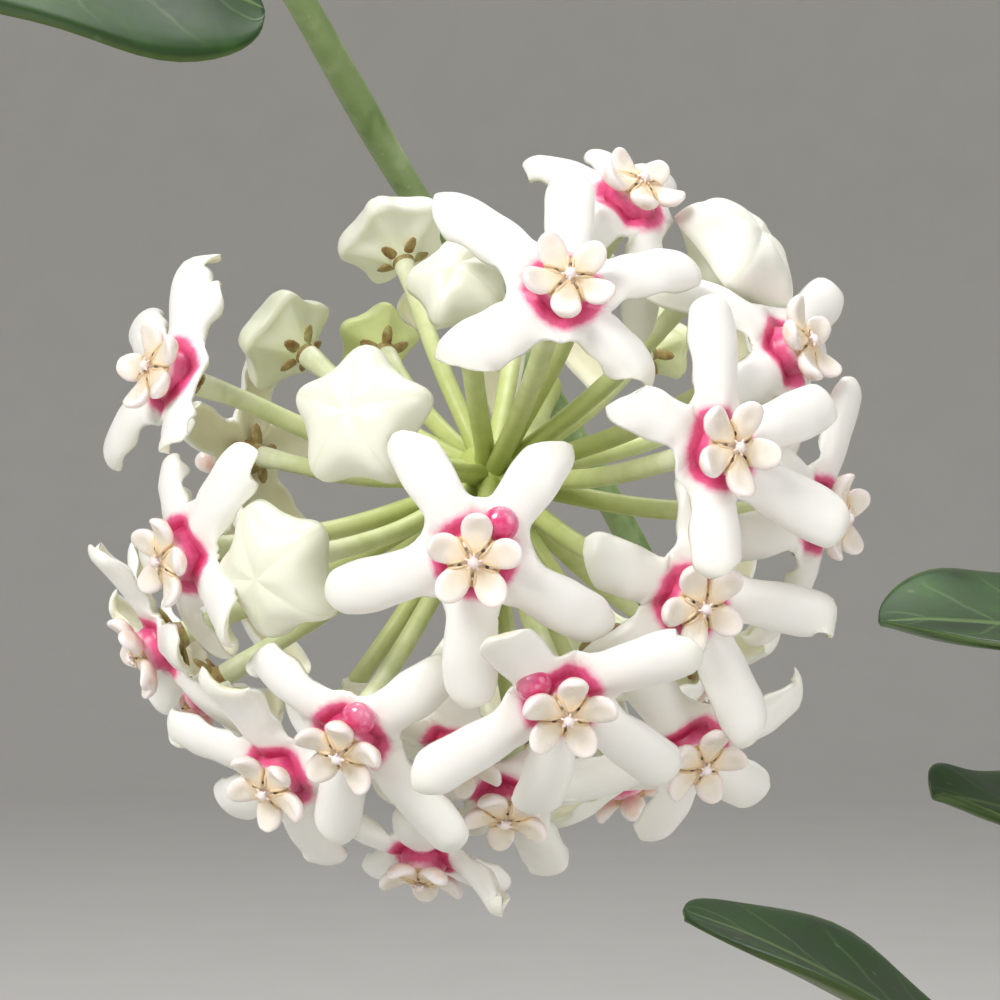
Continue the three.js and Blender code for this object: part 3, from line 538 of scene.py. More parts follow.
class Finish(Graph):
    """A material. Colours are red, green and blue from 0 to 255."""

    def __init__(self, name, **uniform):
        self.material = bpy.data.materials.new(name)
        self.material.use_nodes = True
        super().__init__(self.material.node_tree)
        self.shader = self.tree.nodes["Principled BSDF"]
        self.shader.subsurface_method = "BURLEY"
        for label, value in uniform.items():
            self.shader.inputs[label.replace("_", " ")].default_value = value
        self.place = self.node("ShaderNodeTexCoord").outputs["Object"]

    def stretched(self, scale):
        return self.node("ShaderNodeMapping", Scale=scale, Vector=self.place).outputs["Vector"]

    def attribute(self, name):
        return self.node("ShaderNodeAttribute", {"attribute_name": name}).outputs["Fac"]

    def noise(self, grain_mm, detail=3.0, vector=None, roughness=0.5):
        return self.node("ShaderNodeTexNoise", Scale=1 / (grain_mm * MM), Detail=detail,
                         Roughness=roughness, Vector=vector or self.place).outputs["Fac"]

    def cells(self, grain_mm):
        return self.node("ShaderNodeTexVoronoi", Scale=1 / (grain_mm * MM),
                         Vector=self.place).outputs["Distance"]

    def ranged(self, value, low, high, to_low=0.0, to_high=1.0):
        return self.node("ShaderNodeMapRange", {"interpolation_type": "SMOOTHSTEP"}, Value=value,
                         From_Min=low, From_Max=high, To_Min=to_low, To_Max=to_high).outputs[0]

    def mixed(self, share, first, second):
        node = self.node("ShaderNodeMix", {"data_type": "RGBA"}, Factor=share)
        for socket, colour in zip(node.inputs[6:8], (first, second)):
            self.join(paint(*colour) if isinstance(colour, tuple) else colour, socket)
        return node.outputs[2]

    def tinted(self, under, over, value, low, high, most=1.0):
        """A colour with another laid over it where a value, or a named one, is high."""
        if isinstance(value, str):
            value = self.attribute(value)
        return self.mixed(self.ranged(value, low, high, 0.0, most), under, over)

    def speckled(self, under, over, value, low, high, most):
        """A colour with another laid over it where a value is low."""
        return self.mixed(self.ranged(value, low, high, most, 0.0), under, over)

    def ramp(self, value, *stops):
        """A colour for a value. Each stop is the value and its red, green and blue."""
        node = self.node("ShaderNodeValToRGB", Fac=value)
        node.color_ramp.interpolation = "EASE"
        elements = node.color_ramp.elements
        while len(elements) < len(stops):
            elements.new(0.5)
        for element, (position, *colour) in zip(elements, stops):
            element.position = position
            element.color = paint(*colour)
        return node.outputs["Color"]

    def relief(self, height, depth_mm, strength, under=None):
        node = self.node("ShaderNodeBump", Strength=strength, Distance=depth_mm * MM,
                         Height=height)
        if under is not None:
            self.join(under, node.inputs["Normal"])
        return node.outputs["Normal"]

    def finish(self, colour, roughness, normal=None):
        self.join(colour, self.shader.inputs["Base Color"])
        self.join(roughness, self.shader.inputs["Roughness"])
        if normal is not None:
            self.join(normal, self.shader.inputs["Normal"])
        return self.material


def petal_wax():
    skin = Finish("petal_wax", Subsurface_Weight=0.28, Subsurface_Radius=(1.0, 0.8, 0.6),
                  Subsurface_Scale=1.3 * MM, Specular_IOR_Level=0.5, Coat_Weight=0.12,
                  Coat_Roughness=0.3, Sheen_Weight=0.08)
    cloud, waves = skin.noise(2.6, 3), skin.noise(1.7, 2)
    white = skin.mixed(cloud, (246, 245, 240), (252, 252, 252))
    cream = skin.mixed(cloud, (230, 228, 196), (242, 239, 216))
    body = skin.tinted(white, cream, "underside", 0.2, 1.0, 0.85)
    body = skin.tinted(body, (232, 234, 205), "reach", 0.8, 1.0, 0.25)
    mottled = skin.maths("ADD", skin.attribute("blush"),
                         skin.ranged(skin.noise(0.7, 3), 0.3, 0.7, -0.06, 0.05))
    pink = skin.ramp(mottled, (0.0, 252, 234, 240), (0.3, 248, 196, 214), (0.6, 228, 92, 144),
                     (1.0, 188, 26, 86))
    return skin.finish(skin.tinted(body, pink, mottled, 0.02, 0.45),
                       skin.ranged(waves, 0.2, 0.8, 0.3, 0.48), skin.relief(waves, 0.06, 0.5))


def corona_wax():
    skin = Finish("corona_wax", Subsurface_Weight=0.3, Subsurface_Radius=(1.0, 0.75, 0.55),
                  Subsurface_Scale=0.9 * MM, Coat_Weight=0.3, Coat_Roughness=0.22)
    cloud = skin.noise(1.3, 2)
    lobe = skin.ramp(skin.attribute("reach"), (0.0, 226, 196, 152), (0.28, 240, 224, 200),
                     (0.6, 244, 236, 222), (1.0, 250, 243, 240))
    colour = skin.tinted(lobe, (240, 224, 208), cloud, 0.35, 0.8, 0.25)
    rim = skin.maths("MULTIPLY", skin.attribute("blush"),
                     skin.ranged(skin.attribute("reach"), 0.25, 0.7))
    colour = skin.mixed(skin.maths("MULTIPLY", rim, 0.75), colour, (250, 238, 242))
    colour = skin.tinted(colour, (236, 198, 180), "underside", 0.3, 1.0, 0.6)
    return skin.finish(colour, skin.ranged(cloud, 0.3, 0.7, 0.26, 0.38),
                       skin.relief(skin.noise(0.3, 2), 0.02, 0.3))


def corona_heart():
    skin = Finish("corona_heart")
    # The darkest stop, at reach 0, is painted shade for the holes between the anther wings
    shade = skin.ramp(skin.attribute("reach"), (0.0, 60, 40, 20), (0.3, 176, 136, 88),
                      (0.6, 232, 206, 168), (0.85, 244, 220, 214), (1.0, 252, 240, 246))
    colour = skin.tinted(shade, (230, 202, 158), skin.noise(0.5, 2), 0.3, 0.7, 0.35)
    return skin.finish(colour, 0.35, skin.relief(skin.noise(0.25, 2), 0.02, 0.4))


def nectar_pink():
    skin = Finish("nectar_pink", Subsurface_Weight=0.3, Subsurface_Radius=(1.0, 0.4, 0.5),
                  Subsurface_Scale=0.8 * MM, Coat_Weight=0.9, Coat_Roughness=0.05,
                  Transmission_Weight=0.15, IOR=1.4)
    pink = skin.ramp(skin.noise(0.55, 2), (0.25, 230, 40, 108), (0.5, 240, 78, 140),
                     (0.75, 250, 150, 188))
    # Paler toward the bead's outer side, where reach is high: painted sheen
    colour = skin.tinted(pink, (240, 190, 210), "reach", 0.5, 1.0, 0.45)
    return skin.finish(colour, 0.12, skin.relief(skin.noise(0.45, 1), 0.05, 0.5))


def calyx_green():
    skin = Finish("calyx_green")
    cloud = skin.noise(0.8, 3)
    colour = skin.ramp(cloud, (0.3, 134, 92, 54), (0.5, 160, 136, 84), (0.75, 184, 184, 122))
    return skin.finish(colour, skin.ranged(cloud, 0.3, 0.7, 0.4, 0.6),
                       skin.relief(skin.noise(0.3, 2), 0.03, 0.5))


def bud_wax():
    skin = Finish("bud_wax", Subsurface_Weight=0.3, Subsurface_Radius=(1.0, 0.9, 0.6),
                  Subsurface_Scale=1.3 * MM, Coat_Weight=0.1, Coat_Roughness=0.35)
    cloud = skin.noise(3, 3)
    cream = skin.mixed(cloud, (240, 241, 228), (250, 250, 244))
    green = skin.mixed(cloud, (206, 220, 138), (228, 238, 176))
    share = skin.maths("ADD", skin.attribute("green"),
                       skin.ranged(skin.attribute("underside"), 0.1, 1.0, 0.0, 0.3))
    colour = skin.mixed(share, cream, green)
    colour = skin.tinted(colour, (220, 214, 176), "seam", 0.5, 1.0, 0.22)
    return skin.finish(colour, skin.ranged(cloud, 0.3, 0.7, 0.34, 0.48),
                       skin.relief(skin.noise(0.3, 2), 0.02, 0.35))


def pedicel_skin():
    skin = Finish("pedicel_skin", Specular_IOR_Level=0.45)
    streaks = skin.noise(1.6, 3)
    along = skin.ramp(skin.attribute("along"), (0.0, 176, 188, 104), (0.3, 196, 206, 134),
                      (0.7, 214, 222, 168), (1.0, 230, 234, 204))
    colour = skin.tinted(along, (166, 184, 100), streaks, 0.35, 0.7, 0.3)
    return skin.finish(colour, skin.ranged(streaks, 0.3, 0.7, 0.36, 0.5),
                       skin.relief(skin.noise(0.35, 2), 0.03, 0.4))


def stem_skin():
    skin = Finish("stem_skin")
    patches = skin.noise(5, 4)
    colour = skin.ramp(patches, (0.3, 108, 134, 72), (0.52, 138, 162, 104),
                       (0.72, 164, 182, 134))
    colour = skin.speckled(colour, (172, 182, 144), skin.cells(1.5), 0.05, 0.22, 0.6)
    colour = skin.tinted(colour, (128, 118, 82), skin.noise(14, 2), 0.55, 0.75, 0.3)
    bump = skin.relief(skin.noise(0.6, 3), 0.08, 0.6, skin.relief(patches, 0.2, 0.4))
    return skin.finish(colour, skin.ranged(patches, 0.3, 0.7, 0.42, 0.62), bump)


def leaf_wax():
    skin = Finish("leaf_wax", Coat_Weight=0.12, Coat_Roughness=0.4, Specular_IOR_Level=0.45)
    maths = skin.maths
    cloud = skin.noise(9, 4)
    upper = skin.ramp(cloud, (0.3, 20, 48, 8), (0.55, 34, 70, 16), (0.8, 56, 98, 28))
    lower = skin.ramp(cloud, (0.3, 70, 94, 48), (0.7, 104, 128, 72))
    colour = skin.mixed(skin.attribute("underside"), upper, lower)
    # Side veins leave the midrib at a slant and fade toward the margin
    across = maths("ABSOLUTE", skin.attribute("across"))
    course = maths("ADD", maths("MULTIPLY", skin.attribute("along"), LEAF_VEINS),
                   maths("MULTIPLY", skin.noise(7, 2), 0.35))
    step = maths("FRACT", maths("SUBTRACT", course, maths("MULTIPLY", across, 1.1)))
    side_veins = skin.ranged(maths("ABSOLUTE", maths("SUBTRACT", step, 0.5)), 0.0, 0.07, 1.0, 0.0)
    side_veins = maths("MULTIPLY", side_veins, skin.ranged(across, 0.55, 0.95, 1.0, 0.0))
    midrib = skin.ranged(across, 0.02, 0.075, 1.0, 0.0)
    veins = maths("MAXIMUM", maths("MULTIPLY", side_veins, 0.45), midrib)
    colour = skin.mixed(maths("MULTIPLY", veins, 0.6), colour, (112, 140, 78))
    colour = skin.tinted(colour, (120, 146, 84), across, 0.93, 1.0, 0.55)
    colour = skin.speckled(colour, (120, 140, 104), skin.cells(4.5), 0.04, 0.12, 0.35)
    bump = skin.relief(veins, 0.12, 0.5, skin.relief(skin.noise(1.1, 3), 0.07, 0.4))
    return skin.finish(colour, skin.ranged(cloud, 0.3, 0.7, 0.38, 0.54), bump)


def terracotta():
    clay = Finish("terracotta", Specular_IOR_Level=0.3)
    cloud = clay.noise(16, 5)
    colour = clay.ramp(cloud, (0.28, 150, 76, 44), (0.5, 178, 98, 62), (0.72, 196, 120, 82))
    colour = clay.speckled(colour, (118, 62, 40), clay.cells(2.4), 0.02, 0.16, 0.5)
    chalk = clay.noise(26, 6, roughness=0.65)
    colour = clay.tinted(colour, (214, 184, 160), chalk, 0.5, 0.72, 0.55)
    # Darker down the inner wall toward the soil and on the outside near the foot
    colour = clay.tinted(colour, (96, 52, 34), "wetness", 0.2, 1.0, 0.5)
    turning = clay.noise(3, 2, clay.stretched((0.02, 0.02, 1.0)))
    grain = clay.noise(0.7, 4, roughness=0.7)
    bump = clay.relief(turning, 0.35, 0.5, clay.relief(grain, 0.14, 0.6))
    return clay.finish(colour, clay.ranged(cloud, 0.3, 0.7, 0.74, 0.9), bump)


def potting_soil():
    earth = Finish("potting_soil", Specular_IOR_Level=0.25)
    clump = earth.noise(3.2, 6, roughness=0.65)
    fibre = earth.noise(1.2, 3, earth.stretched((1.0, 0.18, 1.0)))
    colour = earth.ramp(clump, (0.3, 24, 17, 12), (0.5, 48, 34, 24), (0.68, 76, 56, 40))
    colour = earth.tinted(colour, (104, 78, 54), fibre, 0.6, 0.75, 0.5)
    bump = earth.relief(clump, 1.2, 0.9, earth.relief(earth.noise(0.8, 4), 0.4, 0.7))
    return earth.finish(colour, earth.ranged(clump, 0.3, 0.7, 0.8, 0.96), bump)


def perlite():
    grain = Finish("perlite", Specular_IOR_Level=0.3)
    cloud = grain.noise(0.9, 4)
    colour = grain.ramp(cloud, (0.3, 188, 182, 170), (0.6, 226, 222, 212))
    return grain.finish(colour, 0.85, grain.relief(cloud, 0.3, 0.8))


def bark_chip():
    wood = Finish("bark_chip", Specular_IOR_Level=0.25)
    fibre = wood.noise(1.4, 4, wood.stretched((1.0, 0.3, 1.0)))
    colour = wood.ramp(fibre, (0.3, 58, 36, 22), (0.6, 104, 68, 42), (0.8, 134, 94, 62))
    return wood.finish(colour, 0.82, wood.relief(fibre, 0.4, 0.9))


petal_finish = petal_wax()
corona_finish = corona_wax()
heart_finish = corona_heart()
nectar_finish = nectar_pink()
calyx_finish = calyx_green()
bud_finish = bud_wax()
pedicel_finish = pedicel_skin()
stem_finish = stem_skin()
leaf_finish = leaf_wax()
terracotta_finish = terracotta()
soil_finish = potting_soil()
perlite_finish = perlite()
bark_finish = bark_chip()


# Meshes
def show(name, data):
    """A new object in the scene, at the origin."""
    piece = bpy.data.objects.new(name, data)
    bpy.context.scene.collection.objects.link(piece)
    return piece


class Skin:
    """Points, faces, material numbers and named values, collected and made one mesh."""

    def __init__(self, *values):
        self.points = []
        self.faces = []
        self.finishes = []
        self.values = {name: [] for name in values}

    def add(self, points, **values):
        """Adds points and returns their numbers. A value is one number or one for each point."""
        points = np.asarray(points, float).reshape(-1, 3)
        first = len(self.points)
        self.points.extend(points)
        for name, collected in self.values.items():
            given = np.broadcast_to(np.asarray(values.get(name, 0.0), float), (len(points),))
            collected.extend(given)
        return np.arange(first, first + len(points))

    def face(self, *corners, finish=0):
        kept = []
        for corner in corners:
            if corner not in kept:
                kept.append(int(corner))
        if len(kept) > 2:
            self.faces.append(kept)
            self.finishes.append(finish)

    def grid(self, rows, finish=0, closed=False, flip=False):
        """Quads between rows of point numbers."""
        for lower, upper in zip(rows, rows[1:]):
            count = len(lower) if closed else len(lower) - 1
            for i in range(count):
                following = (i + 1) % len(lower)
                corners = [lower[i], upper[i], upper[following], lower[following]]
                self.face(*(reversed(corners) if flip else corners), finish=finish)

    def fan(self, apex, ring, finish=0, closed=True, flip=False):
        count = len(ring) if closed else len(ring) - 1
        for i in range(count):
            corners = [apex, ring[i], ring[(i + 1) % len(ring)]]
            self.face(*(reversed(corners) if flip else corners), finish=finish)

    def close(self, ends, rings, finish=0, flip=False):
        """Faces of a closed body: two end points, by number, and the rings between them."""
        self.fan(ends[0], rings[0], finish, flip=flip)
        self.grid(rings, finish, closed=True, flip=flip)
        self.fan(ends[1], rings[-1], finish, flip=not flip)

    def merge(self, other, move, finish_offset=0):
        """Adds a copy of another skin, moved by a function of its points."""
        own = {name: other.values.get(name, 0.0) for name in self.values}
        numbers = self.add(move(np.array(other.points)), **own)
        for corners, finish in zip(other.faces, other.finishes):
            self.faces.append([int(numbers[corner]) for corner in corners])
            self.finishes.append(finish + finish_offset)

    def piece(self, name, materials):
        mesh = bpy.data.meshes.new(name)
        mesh.from_pydata([tuple(point * MM) for point in self.points], [], self.faces)
        for material in materials:
            mesh.materials.append(material)
        mesh.polygons.foreach_set("material_index", self.finishes)
        mesh.polygons.foreach_set("use_smooth", [True] * len(self.faces))
        for value_name, collected in self.values.items():
            attribute = mesh.attributes.new(value_name, "FLOAT", "POINT")
            attribute.data.foreach_set("value", collected)
        mesh.update()
        return show(name, mesh)


def dress(piece, node):
    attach(piece, "root")
    if node:
        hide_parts(node)


# Geometry node trees
class Tree(Graph):
    """A geometry node tree with named inputs, run on an object to make a plain mesh."""

    def __init__(self, name, **sizes):
        super().__init__(bpy.data.node_groups.new(name, "GeometryNodeTree"))
        face = self.tree.interface
        face.new_socket("Geometry", in_out="INPUT", socket_type="NodeSocketGeometry")
        face.new_socket("Geometry", in_out="OUTPUT", socket_type="NodeSocketGeometry")
        self.identifiers = {}
        for label, value in sizes.items():
            kind = ("NodeSocketMaterial" if isinstance(value, bpy.types.Material)
                    else "NodeSocketInt" if isinstance(value, int) else "NodeSocketFloat")
            socket = face.new_socket(label, in_out="INPUT", socket_type=kind)
            socket.default_value = value
            self.identifiers[label] = socket.identifier
        self.inputs = self.tree.nodes.new("NodeGroupInput").outputs
        self.output = self.tree.nodes.new("NodeGroupOutput").inputs["Geometry"]

    def drawn(self, low, high, kind="FLOAT"):
        """A value between two ends for each copy, drawn from the tree's seed."""
        node = self.node("FunctionNodeRandomValue", {"data_type": kind})
        wanted = "VECTOR" if kind == "FLOAT_VECTOR" else "VALUE"
        ends = [socket for socket in node.inputs if socket.type == wanted and socket.enabled]
        for value, socket in zip((low, high), ends):
            self.join(value, socket)
        self.join(self.inputs["Seed"], next(s for s in node.inputs if s.name == "Seed"))
        return next(socket for socket in node.outputs if socket.enabled)

    def complete(self, geometry):
        """Ends the tree: real geometry in the finish that is one of its inputs."""
        real = self.node("GeometryNodeRealizeInstances", Geometry=geometry)
        done = self.node("GeometryNodeSetMaterial", Geometry=real.outputs["Geometry"],
                         Material=self.inputs["Finish"])
        self.tree.links.new(done.outputs["Geometry"], self.output)
        return self

    def run_on(self, source, name, **sizes):
        """The plain mesh that the tree makes of an object, which is removed."""
        modifier = source.modifiers.new(name, "NODES")
        modifier.node_group = self.tree
        for label, value in sizes.items():
            modifier[self.identifiers[label]] = value
        shape = source.evaluated_get(bpy.context.evaluated_depsgraph_get())
        mesh = bpy.data.meshes.new_from_object(shape)
        mesh.name = name
        bpy.data.objects.remove(source)
        return mesh


def stalk_tree():
    """Sweeps a round section, as wide as each point's radius, along every stalk."""
    tree = Tree("stalk_sweep", Sides=12, Finish=stem_finish)
    factor = tree.node("GeometryNodeSplineParameter").outputs["Factor"]
    marked = tree.node("GeometryNodeStoreNamedAttribute",
                       {"data_type": "FLOAT", "domain": "POINT"},
                       Geometry=tree.inputs["Geometry"], Name="along", Value=factor)
    section = tree.node("GeometryNodeCurvePrimitiveCircle", Resolution=tree.inputs["Sides"],
                        Radius=1.0)
    sweep = tree.node("GeometryNodeCurveToMesh", Curve=marked.outputs["Geometry"],
                      Profile_Curve=section.outputs["Curve"], Fill_Caps=True)
    if "Scale" in sweep.inputs:
        radius = tree.node("GeometryNodeInputRadius").outputs["Radius"]
        tree.tree.links.new(radius, sweep.inputs["Scale"])
    smooth = tree.node("GeometryNodeSetShadeSmooth", Geometry=sweep.outputs["Mesh"])
    return tree.complete(smooth.outputs["Geometry"])


stalk_sweep = stalk_tree()


def stalk_piece(name, stalks, sides, finish):
    """One piece of swept stalks, each a list of (point, radius)."""
    curve = bpy.data.curves.new(name + "_lines", "CURVE")
    curve.dimensions = "3D"
    for stalk in stalks:
        spline = curve.splines.new("POLY")
        spline.points.add(len(stalk) - 1)
        for target, (point, radius) in zip(spline.points, stalk):
            target.co = (*(point * MM), 1)
            target.radius = radius * MM
    source = show(name + "_lines", curve)
    return show(name, stalk_sweep.run_on(source, name, Sides=sides, Finish=finish))


# Pot and soil
ROUND_STEPS = 120
POT_STEP = 6
FOOT_DARKENING_HEIGHT = 14
rim_radius = POT_RIM_DIAMETER / 2
base_radius = POT_BASE_DIAMETER / 2
band_bottom = POT_HEIGHT - RIM_BAND_HEIGHT
wall_top_radius = rim_radius - RIM_BAND_STEP


def inner_radius(height):
    slope = (wall_top_radius - base_radius) / band_bottom
    return base_radius + slope * height - POT_WALL


def rounded_corner(before, corner, after, radius, steps=4):
    """Points of an arc that rounds one corner of a profile."""
    before, corner, after = (np.array(point, float) for point in (before, corner, after))
    start = corner + unit(before - corner) * radius
    end = corner + unit(after - corner) * radius
    return [tuple(blended(blended(start, corner, share), blended(corner, end, share), share))
            for share in shares(steps)]


def make_pot():
    edge = EDGE_ROUNDING
    corners = [
        ((0, 0), 0), ((base_radius, 0), edge), ((wall_top_radius, band_bottom), 0.6),
        ((rim_radius, band_bottom), edge), ((rim_radius, POT_HEIGHT), edge * 1.3),
        ((inner_radius(POT_HEIGHT), POT_HEIGHT), edge), ((inner_radius(POT_FLOOR), POT_FLOOR), 2),
        ((0, POT_FLOOR), 0),
    ]
    profile = []
    for i, (corner, radius) in enumerate(corners):
        if radius == 0:
            profile.append(corner)
        else:
            profile += rounded_corner(corners[i - 1][0], corner, corners[i + 1][0], radius)
    # Long straight runs are split, so the darker band inside and near the foot has points to lie
    # on
    fine = []
    for (radius, height), (next_radius, next_height) in zip(profile, profile[1:]):
        steps = round(math.hypot(next_radius - radius, next_height - height) / POT_STEP)
        fine += [(blended(radius, next_radius, share), blended(height, next_height, share))
                 for share in shares(max(1, steps))[:-1]]
    fine.append(profile[-1])
    # Darker down the inner wall from below the rim to the soil, and on the outside near the foot
    wetness = []
    inside = False
    for radius, height in fine:
        inside = inside or height >= POT_HEIGHT - 0.5
        wet = smooth_step(POT_HEIGHT - 4, soil_top - 4, height) if inside else 0
        wetness.append(max(wet, 0.5 * smooth_step(FOOT_DARKENING_HEIGHT, 0, height)))
    skin = Skin("wetness")
    rings = [skin.add(circle(radius, height, ROUND_STEPS), wetness=wet)
             for (radius, height), wet in zip(fine[1:-1], wetness[1:-1])]
    ends = skin.add([(0, 0, 0), (0, 0, POT_FLOOR)], wetness=(wetness[0], wetness[-1]))
    skin.close(ends, rings, flip=True)
    pot = skin.piece("terracotta_pot", [terracotta_finish])
    for i in range(DRAIN_HOLES):
        angle = i / DRAIN_HOLES * 2 * math.pi
        centre = (DRAIN_HOLE_RING * math.cos(angle), DRAIN_HOLE_RING * math.sin(angle))
        drill = Skin()
        rings = [drill.add(circle(DRAIN_HOLE_DIAMETER / 2, height, DRAIN_HOLE_SIDES, centre))
                 for height in (-POT_FLOOR, POT_FLOOR * 2)]
        drill.grid(rings, closed=True, flip=True)
        drill.face(*reversed(rings[0]))
        drill.face(*rings[1])
        tool = drill.piece(f"drain_drill_{i}", [terracotta_finish])
        cut = pot.modifiers.new("drain", "BOOLEAN")
        cut.operation, cut.object, cut.solver = "DIFFERENCE", tool, "EXACT"
        shape = pot.evaluated_get(bpy.context.evaluated_depsgraph_get())
        mesh = bpy.data.meshes.new_from_object(shape)
        pot.modifiers.clear()
        pot.data = mesh
        bpy.data.objects.remove(tool)
    pot.data.name = "terracotta_pot"
    dress(pot, "pot")


def soil_height(x, y):
    edge = inner_radius(soil_top) - SEAT_GAP
    reach = np.hypot(x, y) / edge
    crown = SOIL_CROWN * np.interp(reach, [0, 0.42, 0.72, 1], [1, 0.8, 0.5, 0])
    lump = SOIL_LUMP * np.sin(0.31 * x + 1.3) * np.cos(0.37 * y - 0.6)
    fine = 0.5 * np.sin(1.1 * x + 0.7 * y) * np.cos(0.9 * y - 0.6 * x + 1)
    return soil_top + crown + (lump + fine) * smooth_step(1.0, 0.8, reach)


CRUMB_DENT_WIDTH = 1 / 0.9
CRUMB_DENT_DEPTH = 4


def crumb_tree():
    """Strews rough crumbs over the faces of a surface."""
    tree = Tree("soil_crumbs", Density=1.0e5, Smallest=0.4, Largest=1.0, Roughness=0.3,
                Squash=0.7, Seed=1, Finish=soil_finish)
    points = tree.node("GeometryNodeDistributePointsOnFaces", Mesh=tree.inputs["Geometry"],
                       Density=tree.inputs["Density"], Seed=tree.inputs["Seed"])
    crumb = tree.node("GeometryNodeMeshIcoSphere", Radius=MM, Subdivisions=2)
    size = tree.drawn(tree.inputs["Smallest"], tree.inputs["Largest"])
    turn = tree.drawn((0, 0, 0), (math.tau, math.tau, math.tau), "FLOAT_VECTOR")
    squashed = tree.maths("MULTIPLY", size, tree.inputs["Squash"])
    scale = tree.node("ShaderNodeCombineXYZ", X=size, Y=size, Z=squashed)
    strewn = tree.node("GeometryNodeInstanceOnPoints", Points=points.outputs["Points"],
                       Instance=crumb.outputs["Mesh"], Rotation=turn, Scale=scale.outputs[0])
    real = tree.node("GeometryNodeRealizeInstances", Geometry=strewn.outputs["Instances"])
    dent = tree.node("ShaderNodeTexNoise", Scale=1 / (CRUMB_DENT_WIDTH * MM), Detail=2.0)
    vectors = "ShaderNodeVectorMath"
    about = tree.maths("SUBTRACT", dent.outputs["Color"], (0.5, 0.5, 0.5), vectors)
    depth = tree.maths("MULTIPLY", tree.inputs["Roughness"], CRUMB_DENT_DEPTH * MM)
    rough = tree.maths("SCALE", about, depth, vectors)
    moved = tree.node("GeometryNodeSetPosition", Geometry=real.outputs["Geometry"], Offset=rough)
    return tree.complete(moved.outputs["Geometry"])


def soil_surface(reach_share, rings=36):
    edge = (inner_radius(soil_top) - SEAT_GAP) * reach_share
    skin = Skin()
    rows = []
    for i in range(1, rings + 1):
        points = circle(edge * i / rings, 0, ROUND_STEPS)
        points[:, 2] = soil_height(points[:, 0], points[:, 1])
        rows.append(skin.add(points))
    centre = skin.add([[0, 0, soil_height(0.0, 0.0)]])[0]
    skin.fan(centre, rows[0])
    skin.grid(rows, closed=True)
    return skin, rows[-1]


def make_soil():
    skin, rim = soil_surface(1.0)
    bottom_height = POT_FLOOR + SEAT_GAP
    bottom_radius = inner_radius(bottom_height) - SEAT_GAP - 2
    bottom = skin.add(circle(bottom_radius, bottom_height, ROUND_STEPS))
    skin.grid([rim, bottom], closed=True)
    skin.fan(skin.add([[0, 0, bottom_height]])[0], bottom, flip=True)
    soil = skin.piece("potting_soil_bed", [soil_finish])
    dress(soil, "soil")
    crumbs = crumb_tree()
    for name, finish, sizes in (
            ("soil_crumb_cover", soil_finish,
             dict(Density=1.35e5, Smallest=0.35, Largest=1.5, Seed=11)),
            ("perlite_grains", perlite_finish,
             dict(Density=1.1e4, Smallest=0.6, Largest=1.5, Seed=5, Squash=0.9)),
            ("bark_chips", bark_finish,
             dict(Density=6.0e3, Smallest=1.2, Largest=2.6, Seed=23, Squash=0.35))):
        surface, _ = soil_surface(0.93)
        source = surface.piece(name + "_bed", [finish])
        piece = show(name, crumbs.run_on(source, name, Finish=finish, **sizes))
        dress(piece, None)


# Vines and stalks
STEM_STEP = 1.6
STEM_TIP_LENGTH = 2.2
STEM_SIDES = 20
STALK_SIDES = 14
JOINT_LENGTH = 2.6
PEDUNCLE_STEPS = 40
PEDICEL_STEPS = 24
RACHIS_RINGS = 15
RACHIS_SIDES = 28


def swelling(share, nodes, width):
    """How far a stem is thickened near its leaf joints, from 0 to 1."""
    return max([math.exp(-((share - node) / width) ** 2) for node in nodes], default=0)


def make_vines():
    for name, path in vine_paths.items():
        joints = sorted({leaf["share"] for leaf in LEAVES[name]})
        steps = round(path.length / STEM_STEP)
        width = JOINT_LENGTH / path.length
        stalk = []
        for share in shares(steps):
            left = (1 - share) * path.length
            tip = math.sqrt(min(1, max(left, 0.02) / STEM_TIP_LENGTH))
            radius = stem_radius(share) * tip * (1 + 0.2 * swelling(share, joints, width))
            wobble = 0.04 * math.sin(share * path.length * 0.21 + len(name))
            stalk.append((path.at(share), radius * (1 + wobble)))
        piece = stalk_piece(name + "_stem", [stalk], STEM_SIDES, stem_finish)
        dress(piece, name)


def swollen_stalk(path, radius, steps, foot, top, top_start):
    """A stalk that is thickened by a share of its radius at the foot and at the top."""
    stalk = []
    for share in shares(steps):
        swell = foot * math.exp(-(share / 0.08) ** 2) + top * smooth_step(top_start, 1.0, share)
        stalk.append((path.at(share), radius * (1 + swell)))
    return stalk


